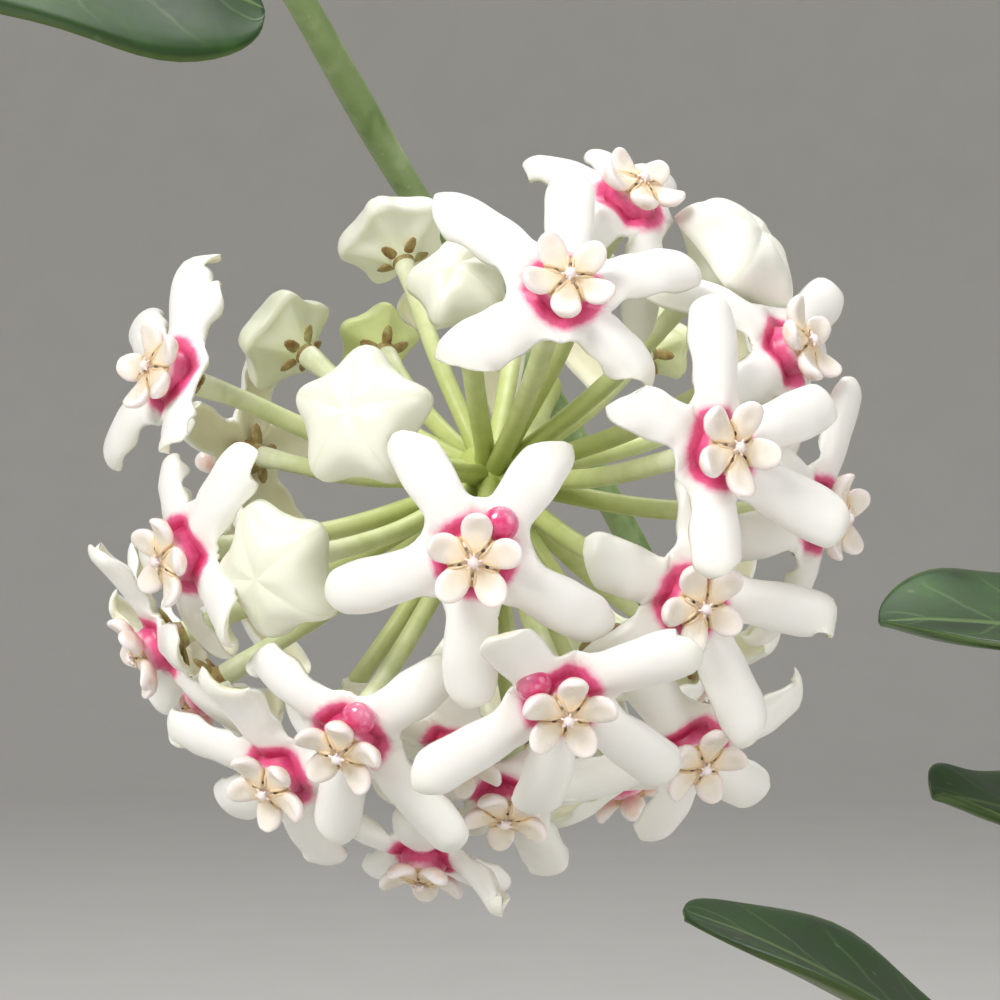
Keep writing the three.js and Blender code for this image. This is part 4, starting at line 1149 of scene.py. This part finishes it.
def make_stalks():
    vine = vine_paths["vine_flowering"]
    node = view_point(PEDUNCLE_NODE_PIXEL, PEDUNCLE_NODE_DEPTH)
    start = min(map(vine.at, np.linspace(0, 1, 401)), key=lambda at: np.linalg.norm(at - node))
    bow = (start + HUB) / 2 - np.array([0, 0, PEDUNCLE_SAG])
    peduncle = Path([start, bow, HUB])
    stalks = [swollen_stalk(peduncle, PEDUNCLE_DIAMETER / 2, PEDUNCLE_STEPS, foot=0.25, top=0.5,
                            top_start=0.86)]
    for head in OPEN_FLOWERS + BUDS:
        own = random.Random(head["name"])
        radius = PEDICEL_DIAMETER / 2 * own.uniform(0.86, 0.98)
        stalks.append(swollen_stalk(head["pedicel"], radius, PEDICEL_STEPS, foot=0.35, top=0.22,
                                    top_start=0.84))
    piece = stalk_piece("umbel_stalk_set", stalks, STALK_SIDES, pedicel_finish)
    dress(piece, "umbel_stalks")
    # The lumpy rachis that all the pedicels leave
    rachis = Skin("along")
    rachis_radius = HUB_RADIUS * 0.93
    rows = []
    for polar in np.linspace(0, math.pi, RACHIS_RINGS + 2)[1:-1]:
        ring = []
        for around in np.linspace(0, math.tau, RACHIS_SIDES, endpoint=False):
            knob = 1 + 0.07 * math.sin(4 * polar + 1) * math.cos(7 * around + 3 * polar)
            direction = np.array([math.sin(polar) * math.cos(around),
                                  math.sin(polar) * math.sin(around), math.cos(polar)])
            ring.append(HUB + direction * rachis_radius * knob)
        rows.append(rachis.add(ring))
    rachis.close(rachis.add([HUB + UP * rachis_radius, HUB - UP * rachis_radius]), rows)
    knob_piece = rachis.piece("umbel_rachis", [pedicel_finish])
    dress(knob_piece, "umbel_stalks")


# Corona
LOBE_STEPS = 16
LOBE_SIDES = 20
LOBE_GAP = 0.07
WHORL_KINDS = 4


def corona_lobe():
    """One plump lobe, drawn to a point at the middle and rounded at its broad outer end."""
    lobe = Skin("reach", "underside", "blush")
    rows = []
    inner, outer, broadest = 0.4, CORONA_RADIUS + 0.2, 0.62
    for share in shares(LOBE_STEPS)[1:-1]:
        share = blended(share, math.sin(share * math.pi / 2), 0.6)
        if share < broadest:
            half_width = 0.12 + 1.06 * math.sin(share / broadest * math.pi / 2) ** 0.85
            slot = math.tan(math.pi / PETALS) * blended(inner, outer, share) - LOBE_GAP
            half_width = min(half_width, slot)
        else:
            half_width = 1.18 * math.sqrt(1 - ((share - broadest) / (1 - broadest)) ** 2)
        plump = min(1.0, half_width / 0.8)
        thickness = blended(0.34, 0.66, smooth_step(0.1, 0.7, share)) * plump
        height = 2.45 - 0.5 * math.sin(math.pi * share ** 0.8) + 0.3 * share ** 3
        hollow = 0.24 * math.exp(-((share - 0.6) / 0.2) ** 2)
        ring, under, rim = [], [], []
        for turn in shares(LOBE_SIDES)[:-1]:
            side, up = math.cos(math.tau * turn), math.sin(math.tau * turn)
            rise = thickness * up * (0.8 if up > 0 else 1.2)
            if up > 0:
                rise -= hollow * up ** 2 * math.exp(-(side / 0.5) ** 2)
            ring.append((blended(inner, outer, share), half_width * side, height + rise))
            under.append(max(0.0, -up))
            rim.append(abs(side) ** 2 if up > -0.3 else 0.0)
        rows.append(lobe.add(ring, reach=share, underside=under, blush=rim))
    ends = lobe.add([(inner - 0.15, 0, 2.45), (outer + 0.02, 0, 2.72)], reach=(0, 1), blush=(0, 1))
    lobe.close(ends, rows, flip=True)
    return lobe


def whorl_tree():
    """Sets copies of one part evenly round the middle, each a little larger or smaller."""
    tree = Tree("corona_whorl", Count=PETALS, Unevenness=0.06, Seed=1, Finish=corona_finish)
    ring = tree.node("GeometryNodeMeshLine", Count=tree.inputs["Count"], Offset=(0, 0, 0))
    number = tree.node("GeometryNodeInputIndex").outputs[0]
    step = tree.maths("DIVIDE", math.tau, tree.inputs["Count"])
    turn = tree.node("ShaderNodeCombineXYZ", Z=tree.maths("MULTIPLY", number, step))
    size = tree.drawn(tree.maths("SUBTRACT", 1.0, tree.inputs["Unevenness"]), 1.0)
    placed = tree.node("GeometryNodeInstanceOnPoints", Points=ring.outputs["Mesh"],
                       Instance=tree.inputs["Geometry"], Rotation=turn.outputs[0], Scale=size)
    return tree.complete(placed.outputs["Instances"])


def skin_from_mesh(mesh, *values):
    """A plain mesh read back into a skin, in millimetres, so copies of it can be placed."""
    skin = Skin(*values)
    for vertex in mesh.vertices:
        skin.points.append(np.array(vertex.co) / MM)
    for name in values:
        skin.values[name] = [item.value for item in mesh.attributes[name].data]
    for polygon in mesh.polygons:
        skin.faces.append(list(polygon.vertices))
        skin.finishes.append(0)
    return skin


def corona_whorls():
    """A few whorls of lobes that differ a little, shared out among the flowers."""
    tree = whorl_tree()
    whorls = []
    for seed in range(1, WHORL_KINDS + 1):
        source = corona_lobe().piece(f"corona_lobe_{seed}", [corona_finish])
        mesh = tree.run_on(source, f"corona_whorl_{seed}", Seed=seed)
        whorls.append(skin_from_mesh(mesh, "reach", "underside", "blush"))
    return whorls


def ellipsoid(skin, centre, axes, rings, sides, **values):
    """A small rounded body with three half axes given as vectors."""
    rows = []
    for i in range(1, rings):
        polar = math.pi * i / rings
        rows.append(skin.add([
            centre + axes[0] * math.sin(polar) * math.cos(math.tau * j / sides)
            + axes[1] * math.sin(polar) * math.sin(math.tau * j / sides)
            + axes[2] * math.cos(polar) for j in range(sides)], **values))
    skin.close(skin.add([centre + axes[2], centre - axes[2]], **values), rows)


# Finishes of an open flower, by their number on the mesh
PETAL, CORONA, HEART, NECTAR, CALYX = range(5)
COLUMN_SIDES = 20
CALYX_SIDES = 16


def corona_heart_skin():
    """Between the lobes: the tan seat, the anther wings with painted shade for a hole each, and
    the knob.
    """
    heart = Skin("reach", "underside")
    right, top, up = np.eye(3)
    ellipsoid(heart, up * 1.62, (right * 1.95, top * 1.95, up * 0.3), 8, 30, reach=0.45)
    for i in range(PETALS):
        outward, sideways, up = turned_by(math.tau * (i + 0.5) / PETALS)
        for side in (-1, 1):
            ellipsoid(heart, outward * 1.3 + sideways * 0.2 * side + up * 2.0,
                      (outward * 0.82 + up * -0.25, sideways * 0.15, up * 0.3), 6, 8, reach=0.62)
        # A small dark bead between the wings: painted shade standing for the hole
        ellipsoid(heart, outward * 1.02 + up * 2.24,
                  (outward * 0.17, sideways * 0.11, up * 0.1), 5, 8, reach=0.0)
        ellipsoid(heart, outward * -0.42 + up * 2.62,
                  (outward * -0.3, sideways * 0.1, up * 0.12), 5, 8, reach=0.95)
    ellipsoid(heart, up * 2.66, (right * 0.4, top * 0.4, up * 0.34), 8, 15, reach=1.0)
    return heart


def corona_column():
    """The pink column that carries the corona, flared where it meets the corolla."""
    skin = Skin("reach", "blush", "underside")
    rows = []
    levels = ((2.3, -0.25, 0.85), (1.95, 0.35, 0.8), (1.75, 1.0, 0.5), (1.7, 1.6, 0.2),
              (1.3, 2.0, 0.1))
    for radius, height, blush in levels:
        rows.append(skin.add(circle(radius, height, COLUMN_SIDES), blush=blush, reach=0.2))
    skin.close(skin.add([(0, 0, -0.3), (0, 0, 2.1)], blush=(0.8, 0.1)), rows, flip=True)
    return skin


def calyx_skin():
    """Five small pointed sepals and the round seat that the pedicel ends in."""
    calyx = Skin()
    rows = []
    for radius, height in ((0.72, -CALYX_DEPTH - 0.75), (0.98, -CALYX_DEPTH - 0.3),
                           (1.3, -CALYX_DEPTH + 0.5), (1.7, -0.85), (1.2, -0.4)):
        rows.append(calyx.add(circle(radius, height, CALYX_SIDES)))
    calyx.close(calyx.add([(0, 0, -CALYX_DEPTH - 0.85), (0, 0, -0.35)]), rows, flip=True)
    for i in range(PETALS):
        level, sideways, up = turned_by(math.tau * (i + 0.5) / PETALS)
        outward = level + up * 0.22
        ellipsoid(calyx, outward * 1.75 - up * 1.75,
                  (outward * 1.25, sideways * 0.62, (up - level * 0.2) * 0.22), 8, 10)
    return calyx


# Petals
WEDGE_RINGS = 7
FREE_RINGS = 22
TOP_STEPS = 14
ridge_disc_share = SINUS_RADIUS * math.cos(math.pi / PETALS) / PETAL_LENGTH
acrosses = np.linspace(-1, 1, TOP_STEPS + 1)
BLUSH_INSIDE = 2.3
BLUSH_OUTSIDE = 3.75
CENTRE_THICKNESS = 0.8
DISC_THICKNESS = 0.75
FREE_THICKNESS = 0.72
PETAL_ROUNDNESS = 0.62
RIDGE_CREST = 0.12
EDGE_WAVES = 21
TIP_CROWDING = 1.35
FREEING_SHARE = 0.16

# What a petal of the photograph does that its neighbours don't: roll is how far its edges turn
# back in degrees, hook how far its tip curls, width is a share, sway, swing and skew millimetres.
PETAL_HABITS = {
    ("bloom_front", 0): dict(swing=0, skew=-0.9, hook=30, point=4.2),
    ("bloom_front", 1): dict(swing=0, skew=0.8, hook=40, point=4.0),
    ("bloom_front", 2): dict(swing=0, hook=60, point=2.8),
    ("bloom_front", 3): dict(swing=0, skew=0.3, hook=35, point=4.4),
    ("bloom_top", 0): dict(hook=45, point=4.2, skew=-0.6),
    ("bloom_top", 2): dict(hook=28, point=4.6, skew=-1.3, wave=0.24),
    ("bloom_top", 3): dict(hook=36, point=4.6, skew=-1.4, wave=0.34, width=1.1),
    ("bloom_top", 4): dict(hook=30, point=4.2, skew=1.2, wave=0.3, sway=0.5),
    ("bloom_right", 2): dict(roll=70, hook=26, point=4.4, skew=0.9, wave=0.16, swing=0),
    ("bloom_right", 4): dict(hook=70, skew=-0.9, width=1.08),
    ("bloom_low", 1): dict(roll=58, hook=14, point=5.0, skew=0.5, wave=0.0, swing=0),
    ("bloom_low", 2): dict(hook=50, point=3.0, sway=-0.8),
    ("bloom_low_left", 1): dict(hook=130, point=2.2, sway=0.8, swing=1.4, width=0.92),
    ("bloom_low_left", 2): dict(hook=75, width=1.08),
    ("bloom_low_right", 0): dict(hook=70, point=2.0, sway=-0.8, swing=-1.6, wave=0.1,
                                 width=0.95),
    ("bloom_low_right", 2): dict(hook=50, point=4.6, wave=0.4, skew=-1.0),
    ("bloom_left_high", 0): dict(hook=80, point=1.7, sway=1.1, swing=-1.9, wave=0.05,
                                 width=0.9, twist=24),
    ("bloom_left_high", 2): dict(hook=60, point=2.4, width=0.96),
    ("bloom_right_low", 1): dict(hook=90, point=2.0, sway=0.5, swing=1.6, width=0.85),
    ("bloom_far_left", 0): dict(hook=70, sway=0.6, wave=0.35),
    ("bloom_bottom_left", 0): dict(roll=158, hook=10, width=1.04, point=6.0, wave=0.02),
    ("bloom_bottom", 4): dict(hook=80, point=2.2, sway=-0.6, swing=-1.2),
}


def petal_habit(head, index):
    own = random.Random(f"{head['name']} petal {index}")
    habit = dict(
        roll=own.uniform(88, 118),
        hook=own.uniform(35, 80),
        width=own.uniform(0.93, 1.04),
        sway=own.uniform(-0.5, 0.5),
        twist=own.uniform(-9, 9),
        point=own.uniform(2.5, 4.4),
        skew=own.uniform(-1.3, 1.3),
        swing=own.uniform(-0.7, 0.7),
        wave=own.uniform(0.08, 0.26),
        phase=own.uniform(0, math.tau),
        blush=own.uniform(0.7, 1.0),
    )
    habit.update(PETAL_HABITS.get((head["name"], index), {}))
    return habit


class PetalForm:
    """Where a petal's ridge runs, and its sections across."""

    CURL_START = 0.86

    def __init__(self, head_frame, petal, habit):
        self.frame, self.petal, self.habit = head_frame, petal, habit
        self.direction = head_frame.across(petal["angle"], 1, 0) - head_frame.middle
        self.side = head_frame.across(petal["angle"] + math.pi / 2, 1, 0) - head_frame.middle

    def ridge(self, share):
        petal, habit = self.petal, self.habit
        curl = math.radians(habit["hook"])
        straight = min(share, self.CURL_START)
        past = max(share - self.CURL_START, 0) / (1 - self.CURL_START)
        run = petal["length"] * straight
        height = (4 * PETAL_LIFT * straight * (1 - straight)
                  - petal["drop"] * straight ** PETAL_DROP_POWER)
        if past > 0:
            slope = (4 * PETAL_LIFT * (1 - 2 * straight) - petal["drop"] * PETAL_DROP_POWER
                     * straight ** (PETAL_DROP_POWER - 1)) / petal["length"]
            lean = math.atan(slope)
            length = petal["length"] * (1 - self.CURL_START) / math.cos(lean)
            bend = curl * past
            radius = length / curl
            forward, down = radius * math.sin(bend), radius * (1 - math.cos(bend))
            run += forward * math.cos(lean) + down * math.sin(lean)
            height += forward * math.sin(lean) - down * math.cos(lean)
        sway = habit["sway"] * smooth_step(0.35, 1.0, share) + habit["swing"] * past ** 2
        return (self.frame.middle + self.direction * run + self.frame.facing * height
                + self.side * sway)

    def axes(self, share):
        along = unit(self.ridge(min(share + 0.02, 1)) - self.ridge(share - 0.02))
        side = unit(self.side - along * np.dot(self.side, along))
        lift = np.cross(along, side)
        turn = math.radians(self.habit["twist"]) * smooth_step(0.3, 1, share)
        return (side * math.cos(turn) + lift * math.sin(turn),
                lift * math.cos(turn) - side * math.sin(turn))

    def half_width(self, share):
        belly = 0.1 * math.sin(math.pi * min(max((share - 0.42) / 0.56, 0), 1))
        width = PETAL_HALF_WIDTH * self.habit["width"] * (0.9 + belly)
        end = 0.76
        if share > end:
            left = 1 - ((share - end) / (1 - end)) ** self.habit["point"]
            width *= max(left, 0) ** 0.46
        return width


def corolla(skin, head):
    """Five petals that share their bases up to the notches between them, as one closed skin."""
    head_frame = head["frame"]
    ordered = sorted(head["petals"], key=lambda petal: petal["angle"])
    forms = [PetalForm(head_frame, petal, petal_habit(head, petal["index"]))
             for petal in ordered]
    notch_angles = []
    for petal, following in zip(ordered, ordered[1:] + ordered[:1]):
        notch_angles.append(petal["angle"] + (following["angle"] - petal["angle"]) % math.tau / 2)
    wedge_radii = [SINUS_RADIUS * (i + 1) / WEDGE_RINGS for i in range(WEDGE_RINGS)]
    glow = [form.habit["blush"] for form in forms]

    def blush(point, strength):
        offset = np.asarray(point) - head_frame.middle
        height = np.dot(offset, head_frame.facing)
        radius = math.sqrt(max(np.dot(offset, offset) - height ** 2, 0))
        return strength * (1 - smooth_step(BLUSH_INSIDE, BLUSH_OUTSIDE, radius))

    def edge_thickness(radius):
        return DISC_THICKNESS * math.sqrt(max(1 - (radius / SINUS_RADIUS) ** 2, 0))

    # Points on the lines between petals, shared by the two petals that meet there
    notch_top, notch_under = [], []
    for i, angle in enumerate(notch_angles):
        strength = (glow[i] + glow[(i + 1) % PETALS]) / 2
        above, below = [], []
        for radius in wedge_radii:
            height = -SINUS_FALL * (radius / SINUS_RADIUS) ** 2
            point = head_frame.across(angle, radius, height)
            above.append(skin.add([point], reach=radius / PETAL_LENGTH,
                                  blush=blush(point, strength))[0])
            if radius < SINUS_RADIUS - 1e-6:
                below.append(skin.add([head_frame.across(
                    angle, radius, height - edge_thickness(radius))],
                    reach=radius / PETAL_LENGTH, underside=1.0)[0])
            else:
                below.append(above[-1])
        notch_top.append(above)
        notch_under.append(below)
    centre_top = skin.add([head_frame.across(0, 0, 0)], blush=1.0)[0]
    centre_under = skin.add([head_frame.across(0, 0, -CENTRE_THICKNESS)], underside=1.0)[0]

    for i, form in enumerate(forms):
        before = (i + PETALS - 1) % PETALS
        habit = form.habit
        top_rows, under_rows = [], []
        # The shared disc: from the ridge across to the lines between petals
        for ring, radius in enumerate(wedge_radii):
            share = radius * math.cos(math.pi / PETALS) / PETAL_LENGTH
            ridge = form.ridge(share)
            corners = (np.array(skin.points[notch_top[before][ring]]),
                       np.array(skin.points[notch_top[i][ring]]))
            top, under = [], []
            for across in acrosses[1:-1]:
                corner = corners[0] if across < 0 else corners[1]
                point = blended(ridge, corner, abs(across))
                fall = np.dot(corner - ridge, head_frame.facing)
                ease = smooth_step(0, 1, abs(across)) - abs(across)
                crest = RIDGE_CREST * (radius / SINUS_RADIUS) * (1 - across ** 2) ** 2
                point = point + head_frame.facing * (crest + fall * ease)
                thinnest = (edge_thickness(radius) / DISC_THICKNESS) ** 2
                depth = DISC_THICKNESS * math.sqrt(blended(thinnest, 1, 1 - abs(across) ** 3))
                top.append(point)
                under.append(point - head_frame.facing * depth)
            pinks = [blush(point, glow[i]) for point in top]
            top_rows.append([notch_top[before][ring],
                             *skin.add(top, reach=share, blush=pinks), notch_top[i][ring]])
            under_rows.append([notch_under[before][ring],
                               *skin.add(under, reach=share, underside=1.0),
                               notch_under[i][ring]])
        # The free petal: its sides ease from the notches into its own width and rolled edges
        ridge = form.ridge(ridge_disc_share)
        side, lift = form.axes(ridge_disc_share)
        notch_points = (np.array(skin.points[notch_top[before][-1]]),
                        np.array(skin.points[notch_top[i][-1]]))
        notch_widths, notch_offsets = [], []
        for sign, corner in zip((-1, 1), notch_points):
            reach = corner - ridge
            width = abs(np.dot(reach, side))
            notch_widths.append(width)
            notch_offsets.append(reach - side * width * sign)
        for step in shares(FREE_RINGS)[1:-1]:
            share = blended(ridge_disc_share, 1, 1 - (1 - step) ** TIP_CROWDING)
            freed = min((share - ridge_disc_share) / FREEING_SHARE, 1)
            ridge = form.ridge(share)
            side, lift = form.axes(share)
            own_width = form.half_width(share)
            along = np.cross(side, lift)
            slant = habit["skew"] * smooth_step(0.7, 1.0, share)
            wave = habit["wave"] * math.sin(share * EDGE_WAVES + habit["phase"]) * freed
            arch = math.radians(habit["roll"]) * blended(0.25, 1, smooth_step(0, 1, freed))
            top, under = [], []
            for across in acrosses:
                sign = 0 if across < 0 else 1
                width = own_width + (notch_widths[sign] - own_width) * (1 - freed) ** 2.2
                bend = across * arch
                broad = math.sin(arch) if arch < math.pi / 2 else 1.0
                sideways = width * math.sin(bend) / broad
                fall = PETAL_ROUNDNESS * width * (1 - math.cos(bend))
                slope = np.array([PETAL_ROUNDNESS * math.sin(bend), math.cos(bend)])
                slope /= np.linalg.norm(slope)
                fall += wave * across * abs(across)
                point = ridge + side * sideways - lift * fall + along * slant * across
                point = point + notch_offsets[sign] * abs(across) ** 1.5 * (1 - freed) ** 2
                thick = FREE_THICKNESS * min(1, own_width / 1.2)
                thick *= math.sqrt(max(1 - abs(across) ** 3, 0))
                top.append(point)
                under.append(point - (side * slope[0] + lift * slope[1]) * thick)
            pinks = [blush(point, glow[i]) for point in top]
            numbers = skin.add(top, reach=share, blush=pinks, underside=0.25 * acrosses ** 6)
            inside = skin.add(under[1:-1], reach=share, underside=1.0)
            top_rows.append(list(numbers))
            under_rows.append([numbers[0], *inside, numbers[-1]])
        skin.grid(top_rows)
        skin.grid(under_rows, flip=True)
        tip = skin.add([form.ridge(1.0)], reach=1.0, underside=0.3)[0]
        skin.fan(tip, list(reversed(top_rows[-1])), closed=False)
        skin.fan(tip, under_rows[-1], closed=False)
        skin.fan(centre_top, top_rows[0], closed=False)
        skin.fan(centre_under, list(reversed(under_rows[0])), closed=False)
    return notch_angles


def make_flower(head, whorl, heart, column, calyx):
    skin = Skin("reach", "blush", "underside")
    notch_angles = corolla(skin, head)
    # The lobes stand over the notches: the whorl takes the turn that suits all five best
    roll = math.atan2(sum(math.sin(angle * PETALS) for angle in notch_angles),
                      sum(math.cos(angle * PETALS) for angle in notch_angles)) / PETALS
    turn = turned_by(roll)

    def set_in_flower(points):
        return head["frame"].place(points @ turn)

    for part, finish in ((whorl, CORONA), (heart, HEART), (column, PETAL), (calyx, CALYX)):
        skin.merge(part, set_in_flower, finish)
    if "drop_at" in head:
        outward, sideways, up = turned_by(math.radians(head["drop_at"]))
        bead = Skin("reach", "blush", "underside")
        ellipsoid(bead, outward * 2.95 + up * 0.6, (outward * 1.32, sideways * 1.32, up),
                  12, 24)
        # The bead is paler on the side away from the middle: a painted sheen at its rim
        bead.values["reach"] = [(np.dot(point, outward) - 2.2) / 2.1 for point in bead.points]
        skin.merge(bead, head["frame"].place, NECTAR)
    piece = skin.piece("open_" + head["name"], [
        petal_finish, corona_finish, heart_finish, nectar_finish, calyx_finish])
    dress(piece, head["name"])


# Buds
BUD_SIDES = 80
BUD_DOME_RINGS = 14
BUD_FOOT_RINGS = 13


def make_bud(head, calyx):
    own = random.Random(head["name"])
    head_frame, size = head["frame"], head["size"]
    half = BUD_WIDTH / 2 * size
    tall = BUD_HEIGHT * size
    skin = Skin("green", "underside", "seam")
    roll = math.radians(head["roll"])
    levels = []
    for share in shares(BUD_DOME_RINGS)[1:]:
        levels.append((math.sin(share * math.pi / 2) ** 0.85,
                       0.5 * tall * math.cos(share * math.pi / 2) ** 0.8, 0.0, share))
    for share in shares(BUD_FOOT_RINGS)[1:-1]:
        levels.append((1 - 0.8 * share ** 0.8 - 0.02, -BUD_FOOT_DEPTH * size * share ** 1.1,
                       share, 1 - share))
    rows = []
    for reach, height, under, point_share in levels:
        ring, seams = [], []
        for turn in shares(BUD_SIDES)[:-1]:
            around = math.tau * turn
            star = 0.78 + 0.22 * (0.5 + 0.5 * math.cos(PETALS * around)) ** 1.5
            star = blended(0.9, star, min(1, point_share * 1.6))
            groove = math.exp(-(((around * PETALS / math.tau + 0.5) % 1 - 0.5) / 0.05) ** 2)
            dip = -0.09 * size * groove * (1 - under)
            dip = dip * smooth_step(0, 0.25, reach) * smooth_step(1.0, 0.8, reach)
            puff = 0.22 * size * (0.5 - 0.5 * math.cos(PETALS * around))
            puff = puff * math.sin(math.pi * min(reach, 1)) * (1 - under)
            ring.append(head_frame.across(around + roll, half * reach * star,
                                          height + dip + puff))
            seams.append(groove * (1 - under))
        rows.append(skin.add(ring, green=head["green"], underside=under, seam=seams))
    ends = [head_frame.across(0, 0, height)
            for height in (0.49 * tall, -BUD_FOOT_DEPTH * size)]
    skin.close(skin.add(ends, green=(head["green"], 0), underside=(0, 1)), rows)
    lowered = np.array([0, 0, -BUD_FOOT_DEPTH * size + CALYX_DEPTH])
    turn = turned_by(own.uniform(0, math.tau))

    def under_bud(points):
        return head_frame.place((points * np.array([0.86, 0.86, 1.0])) @ turn + lowered)

    skin.merge(calyx, under_bud, 1)
    piece = skin.piece("closed_" + head["name"], [bud_finish, calyx_finish])
    dress(piece, head["name"])


# Leaves
def blade_outline(share):
    """Half width at a share of the blade: broadest past the middle, with a rounded end."""
    return max(1 - abs(2 * share ** 0.88 - 1) ** 2.4, 0) ** 0.52


LEAF_COLUMNS = 17
PETIOLE_RINGS = 6
BLADE_RINGS = 34


def make_leaf(leaf, path):
    own = random.Random(leaf["name"])
    node, tangent = path.at(leaf["share"]), path.tangent(leaf["share"])
    outward = np.array(leaf["tip"]) - node
    sideways = unit(outward - tangent * np.dot(outward, tangent))
    lean = abs(np.dot(unit(outward), tangent))
    seat = stem_radius(leaf["share"]) + SEAT_GAP + lean * PETIOLE_DIAMETER / 2
    root = node + sideways * seat
    axis = leaf["tip"] - root
    length = np.linalg.norm(axis)
    axis = axis / length
    upward = np.array(leaf["face"], float)
    upward = unit(upward - axis * np.dot(upward, axis))
    across = np.cross(upward, axis)
    petiole = PETIOLE_LENGTH / length
    arch = length * leaf.get("arch", LEAF_ARCH)
    ripple = own.uniform(0, math.tau)
    skin = Skin("along", "across", "underside")

    def middle_at(share):
        return root + axis * share * length + upward * arch * math.sin(math.pi * share)

    rows = []
    columns = np.linspace(-1, 1, LEAF_COLUMNS)
    stations = [(-0.02, 0)] + [(petiole * share, 0) for share in shares(PETIOLE_RINGS)[1:-1]]
    for share in shares(BLADE_RINGS)[1:-1]:
        blade = (1 - math.cos(math.pi * share)) / 2
        stations.append((blended(petiole * 0.92, 1, blade), blade))
    stalk = PETIOLE_DIAMETER / 2
    for place, blade in stations:
        opening = smooth_step(0, 0.06, blade)
        half_width = max(0.98 * leaf["width"] / 2 * blade_outline(blade),
                         stalk * 0.3 * (1 - blade))
        half_width = blended(stalk * 0.92, half_width, opening)
        thick = blended(stalk * 0.9, LEAF_THICKNESS * 0.42, opening)
        thick *= smooth_step(0, 0.12, 1 - blade) * 0.6 + 0.4
        top, under = [], []
        for column in columns:
            rise = half_width * 0.14 * column ** 2 * opening
            rise += opening * 0.5 * math.sin(blade * 9 + leaf["width"]) * column ** 2
            rise += opening * 0.35 * math.sin(blade * 17 + ripple + 2 * column) * column ** 2
            round_off = math.sqrt(max(1 - abs(column) ** (2 + 6 * opening), 0))
            rib = opening * math.exp(-(column * half_width / 1.1) ** 2) * (1 - 0.7 * blade)
            centre = middle_at(place) + across * column * half_width + upward * rise
            top.append(centre + upward * (thick * round_off - 0.22 * rib))
            under.append(centre - upward * (thick * round_off + 0.55 * rib))
        above = skin.add(top, along=blade, across=columns * opening,
                         underside=0.35 * (1 - opening))
        below = skin.add(under[1:-1], along=blade, across=columns[1:-1] * opening, underside=1.0)
        rows.append([*above, *reversed(below)])
    ends = skin.add([middle_at(-0.025), leaf["tip"] + axis * 0.1], along=(0, 1),
                    across=(0, 1), underside=(0.35, 0))
    skin.close(ends, rows)
    piece = skin.piece(leaf["name"] + "_blade", [leaf_finish])
    dress(piece, leaf["name"])


# Stage, light and camera
FLOOR_RADIUS = 1900
BEND_RADIUS = 1100
WALL_HEIGHT = 1300
FLOOR_GAP = 0.05


def make_stage():
    paper = Finish("studio_paper", Specular_IOR_Level=0.2)
    tint = paper.mixed(paper.noise(60, 2), (214, 213, 210), (220, 219, 216))
    finish = paper.finish(tint, 0.9)
    bowl = Skin()
    profile = [(FLOOR_RADIUS * share, 0) for share in shares(8)[1:]]
    for share in shares(12)[1:]:
        angle = math.pi / 2 * share
        profile.append((FLOOR_RADIUS + BEND_RADIUS * math.sin(angle),
                        BEND_RADIUS * (1 - math.cos(angle))))
    profile.append((FLOOR_RADIUS + BEND_RADIUS, WALL_HEIGHT))
    rows = [bowl.add(circle(radius, height - FLOOR_GAP, 96)) for radius, height in profile]
    bowl.grid(rows, closed=True)
    bowl.fan(bowl.add([(0, 0, -FLOOR_GAP)])[0], rows[0])
    backdrop = bowl.piece("studio_floor", [finish])


def add_lamp(name, place, aim, size, power, colour=(1, 1, 1)):
    lamp = bpy.data.lights.new(name, "AREA")
    lamp.shape, lamp.size, lamp.energy, lamp.color = "DISK", size, power, colour
    holder = show(name, lamp)
    holder.location = place
    holder.rotation_euler = (Vector(aim) - Vector(place)).to_track_quat("-Z", "Y").to_euler()
    holder.visible_camera = False


def light_scene():
    umbel = tuple(HUB * MM)
    add_lamp("key_softbox", (-0.75, -1.0, 1.15), umbel, 0.7, 19, (1.0, 0.985, 0.96))
    add_lamp("fill_softbox", (1.1, -0.9, 0.55), umbel, 1.0, 6, (1.0, 0.99, 0.97))
    add_lamp("top_softbox", (0.1, 0.35, 1.5), umbel, 0.9, 11)
    world = bpy.data.worlds.new("studio_air")
    world.use_nodes = True
    air = world.node_tree.nodes["Background"].inputs
    air["Color"].default_value = (1.0, 0.98, 0.94, 1)
    air["Strength"].default_value = 0.25
    bpy.context.scene.world = world


def set_camera():
    camera = bpy.data.cameras.new("view")
    camera.sensor_width = 36
    camera.sensor_fit = "HORIZONTAL"
    camera.lens = camera.sensor_width * FOCAL_PIXELS / FRAME_PIXELS
    camera.clip_start = 0.005
    camera.clip_end = 20
    holder = show("view", camera)
    holder.location = LENS * MM
    holder.rotation_euler = (math.pi / 2, 0, 0)
    bpy.context.scene.camera = holder
    bpy.context.scene.view_settings.view_transform = "Standard"


set_camera()
make_pot()
make_soil()
make_vines()
make_stalks()
whorls = corona_whorls()
heart, column, calyx = corona_heart_skin(), corona_column(), calyx_skin()
for number, head in enumerate(OPEN_FLOWERS):
    make_flower(head, whorls[number % len(whorls)], heart, column, calyx)
for head in BUDS:
    make_bud(head, calyx)
for vine, leaves in LEAVES.items():
    for leaf in leaves:
        make_leaf(leaf, vine_paths[vine])
make_stage()
light_scene()
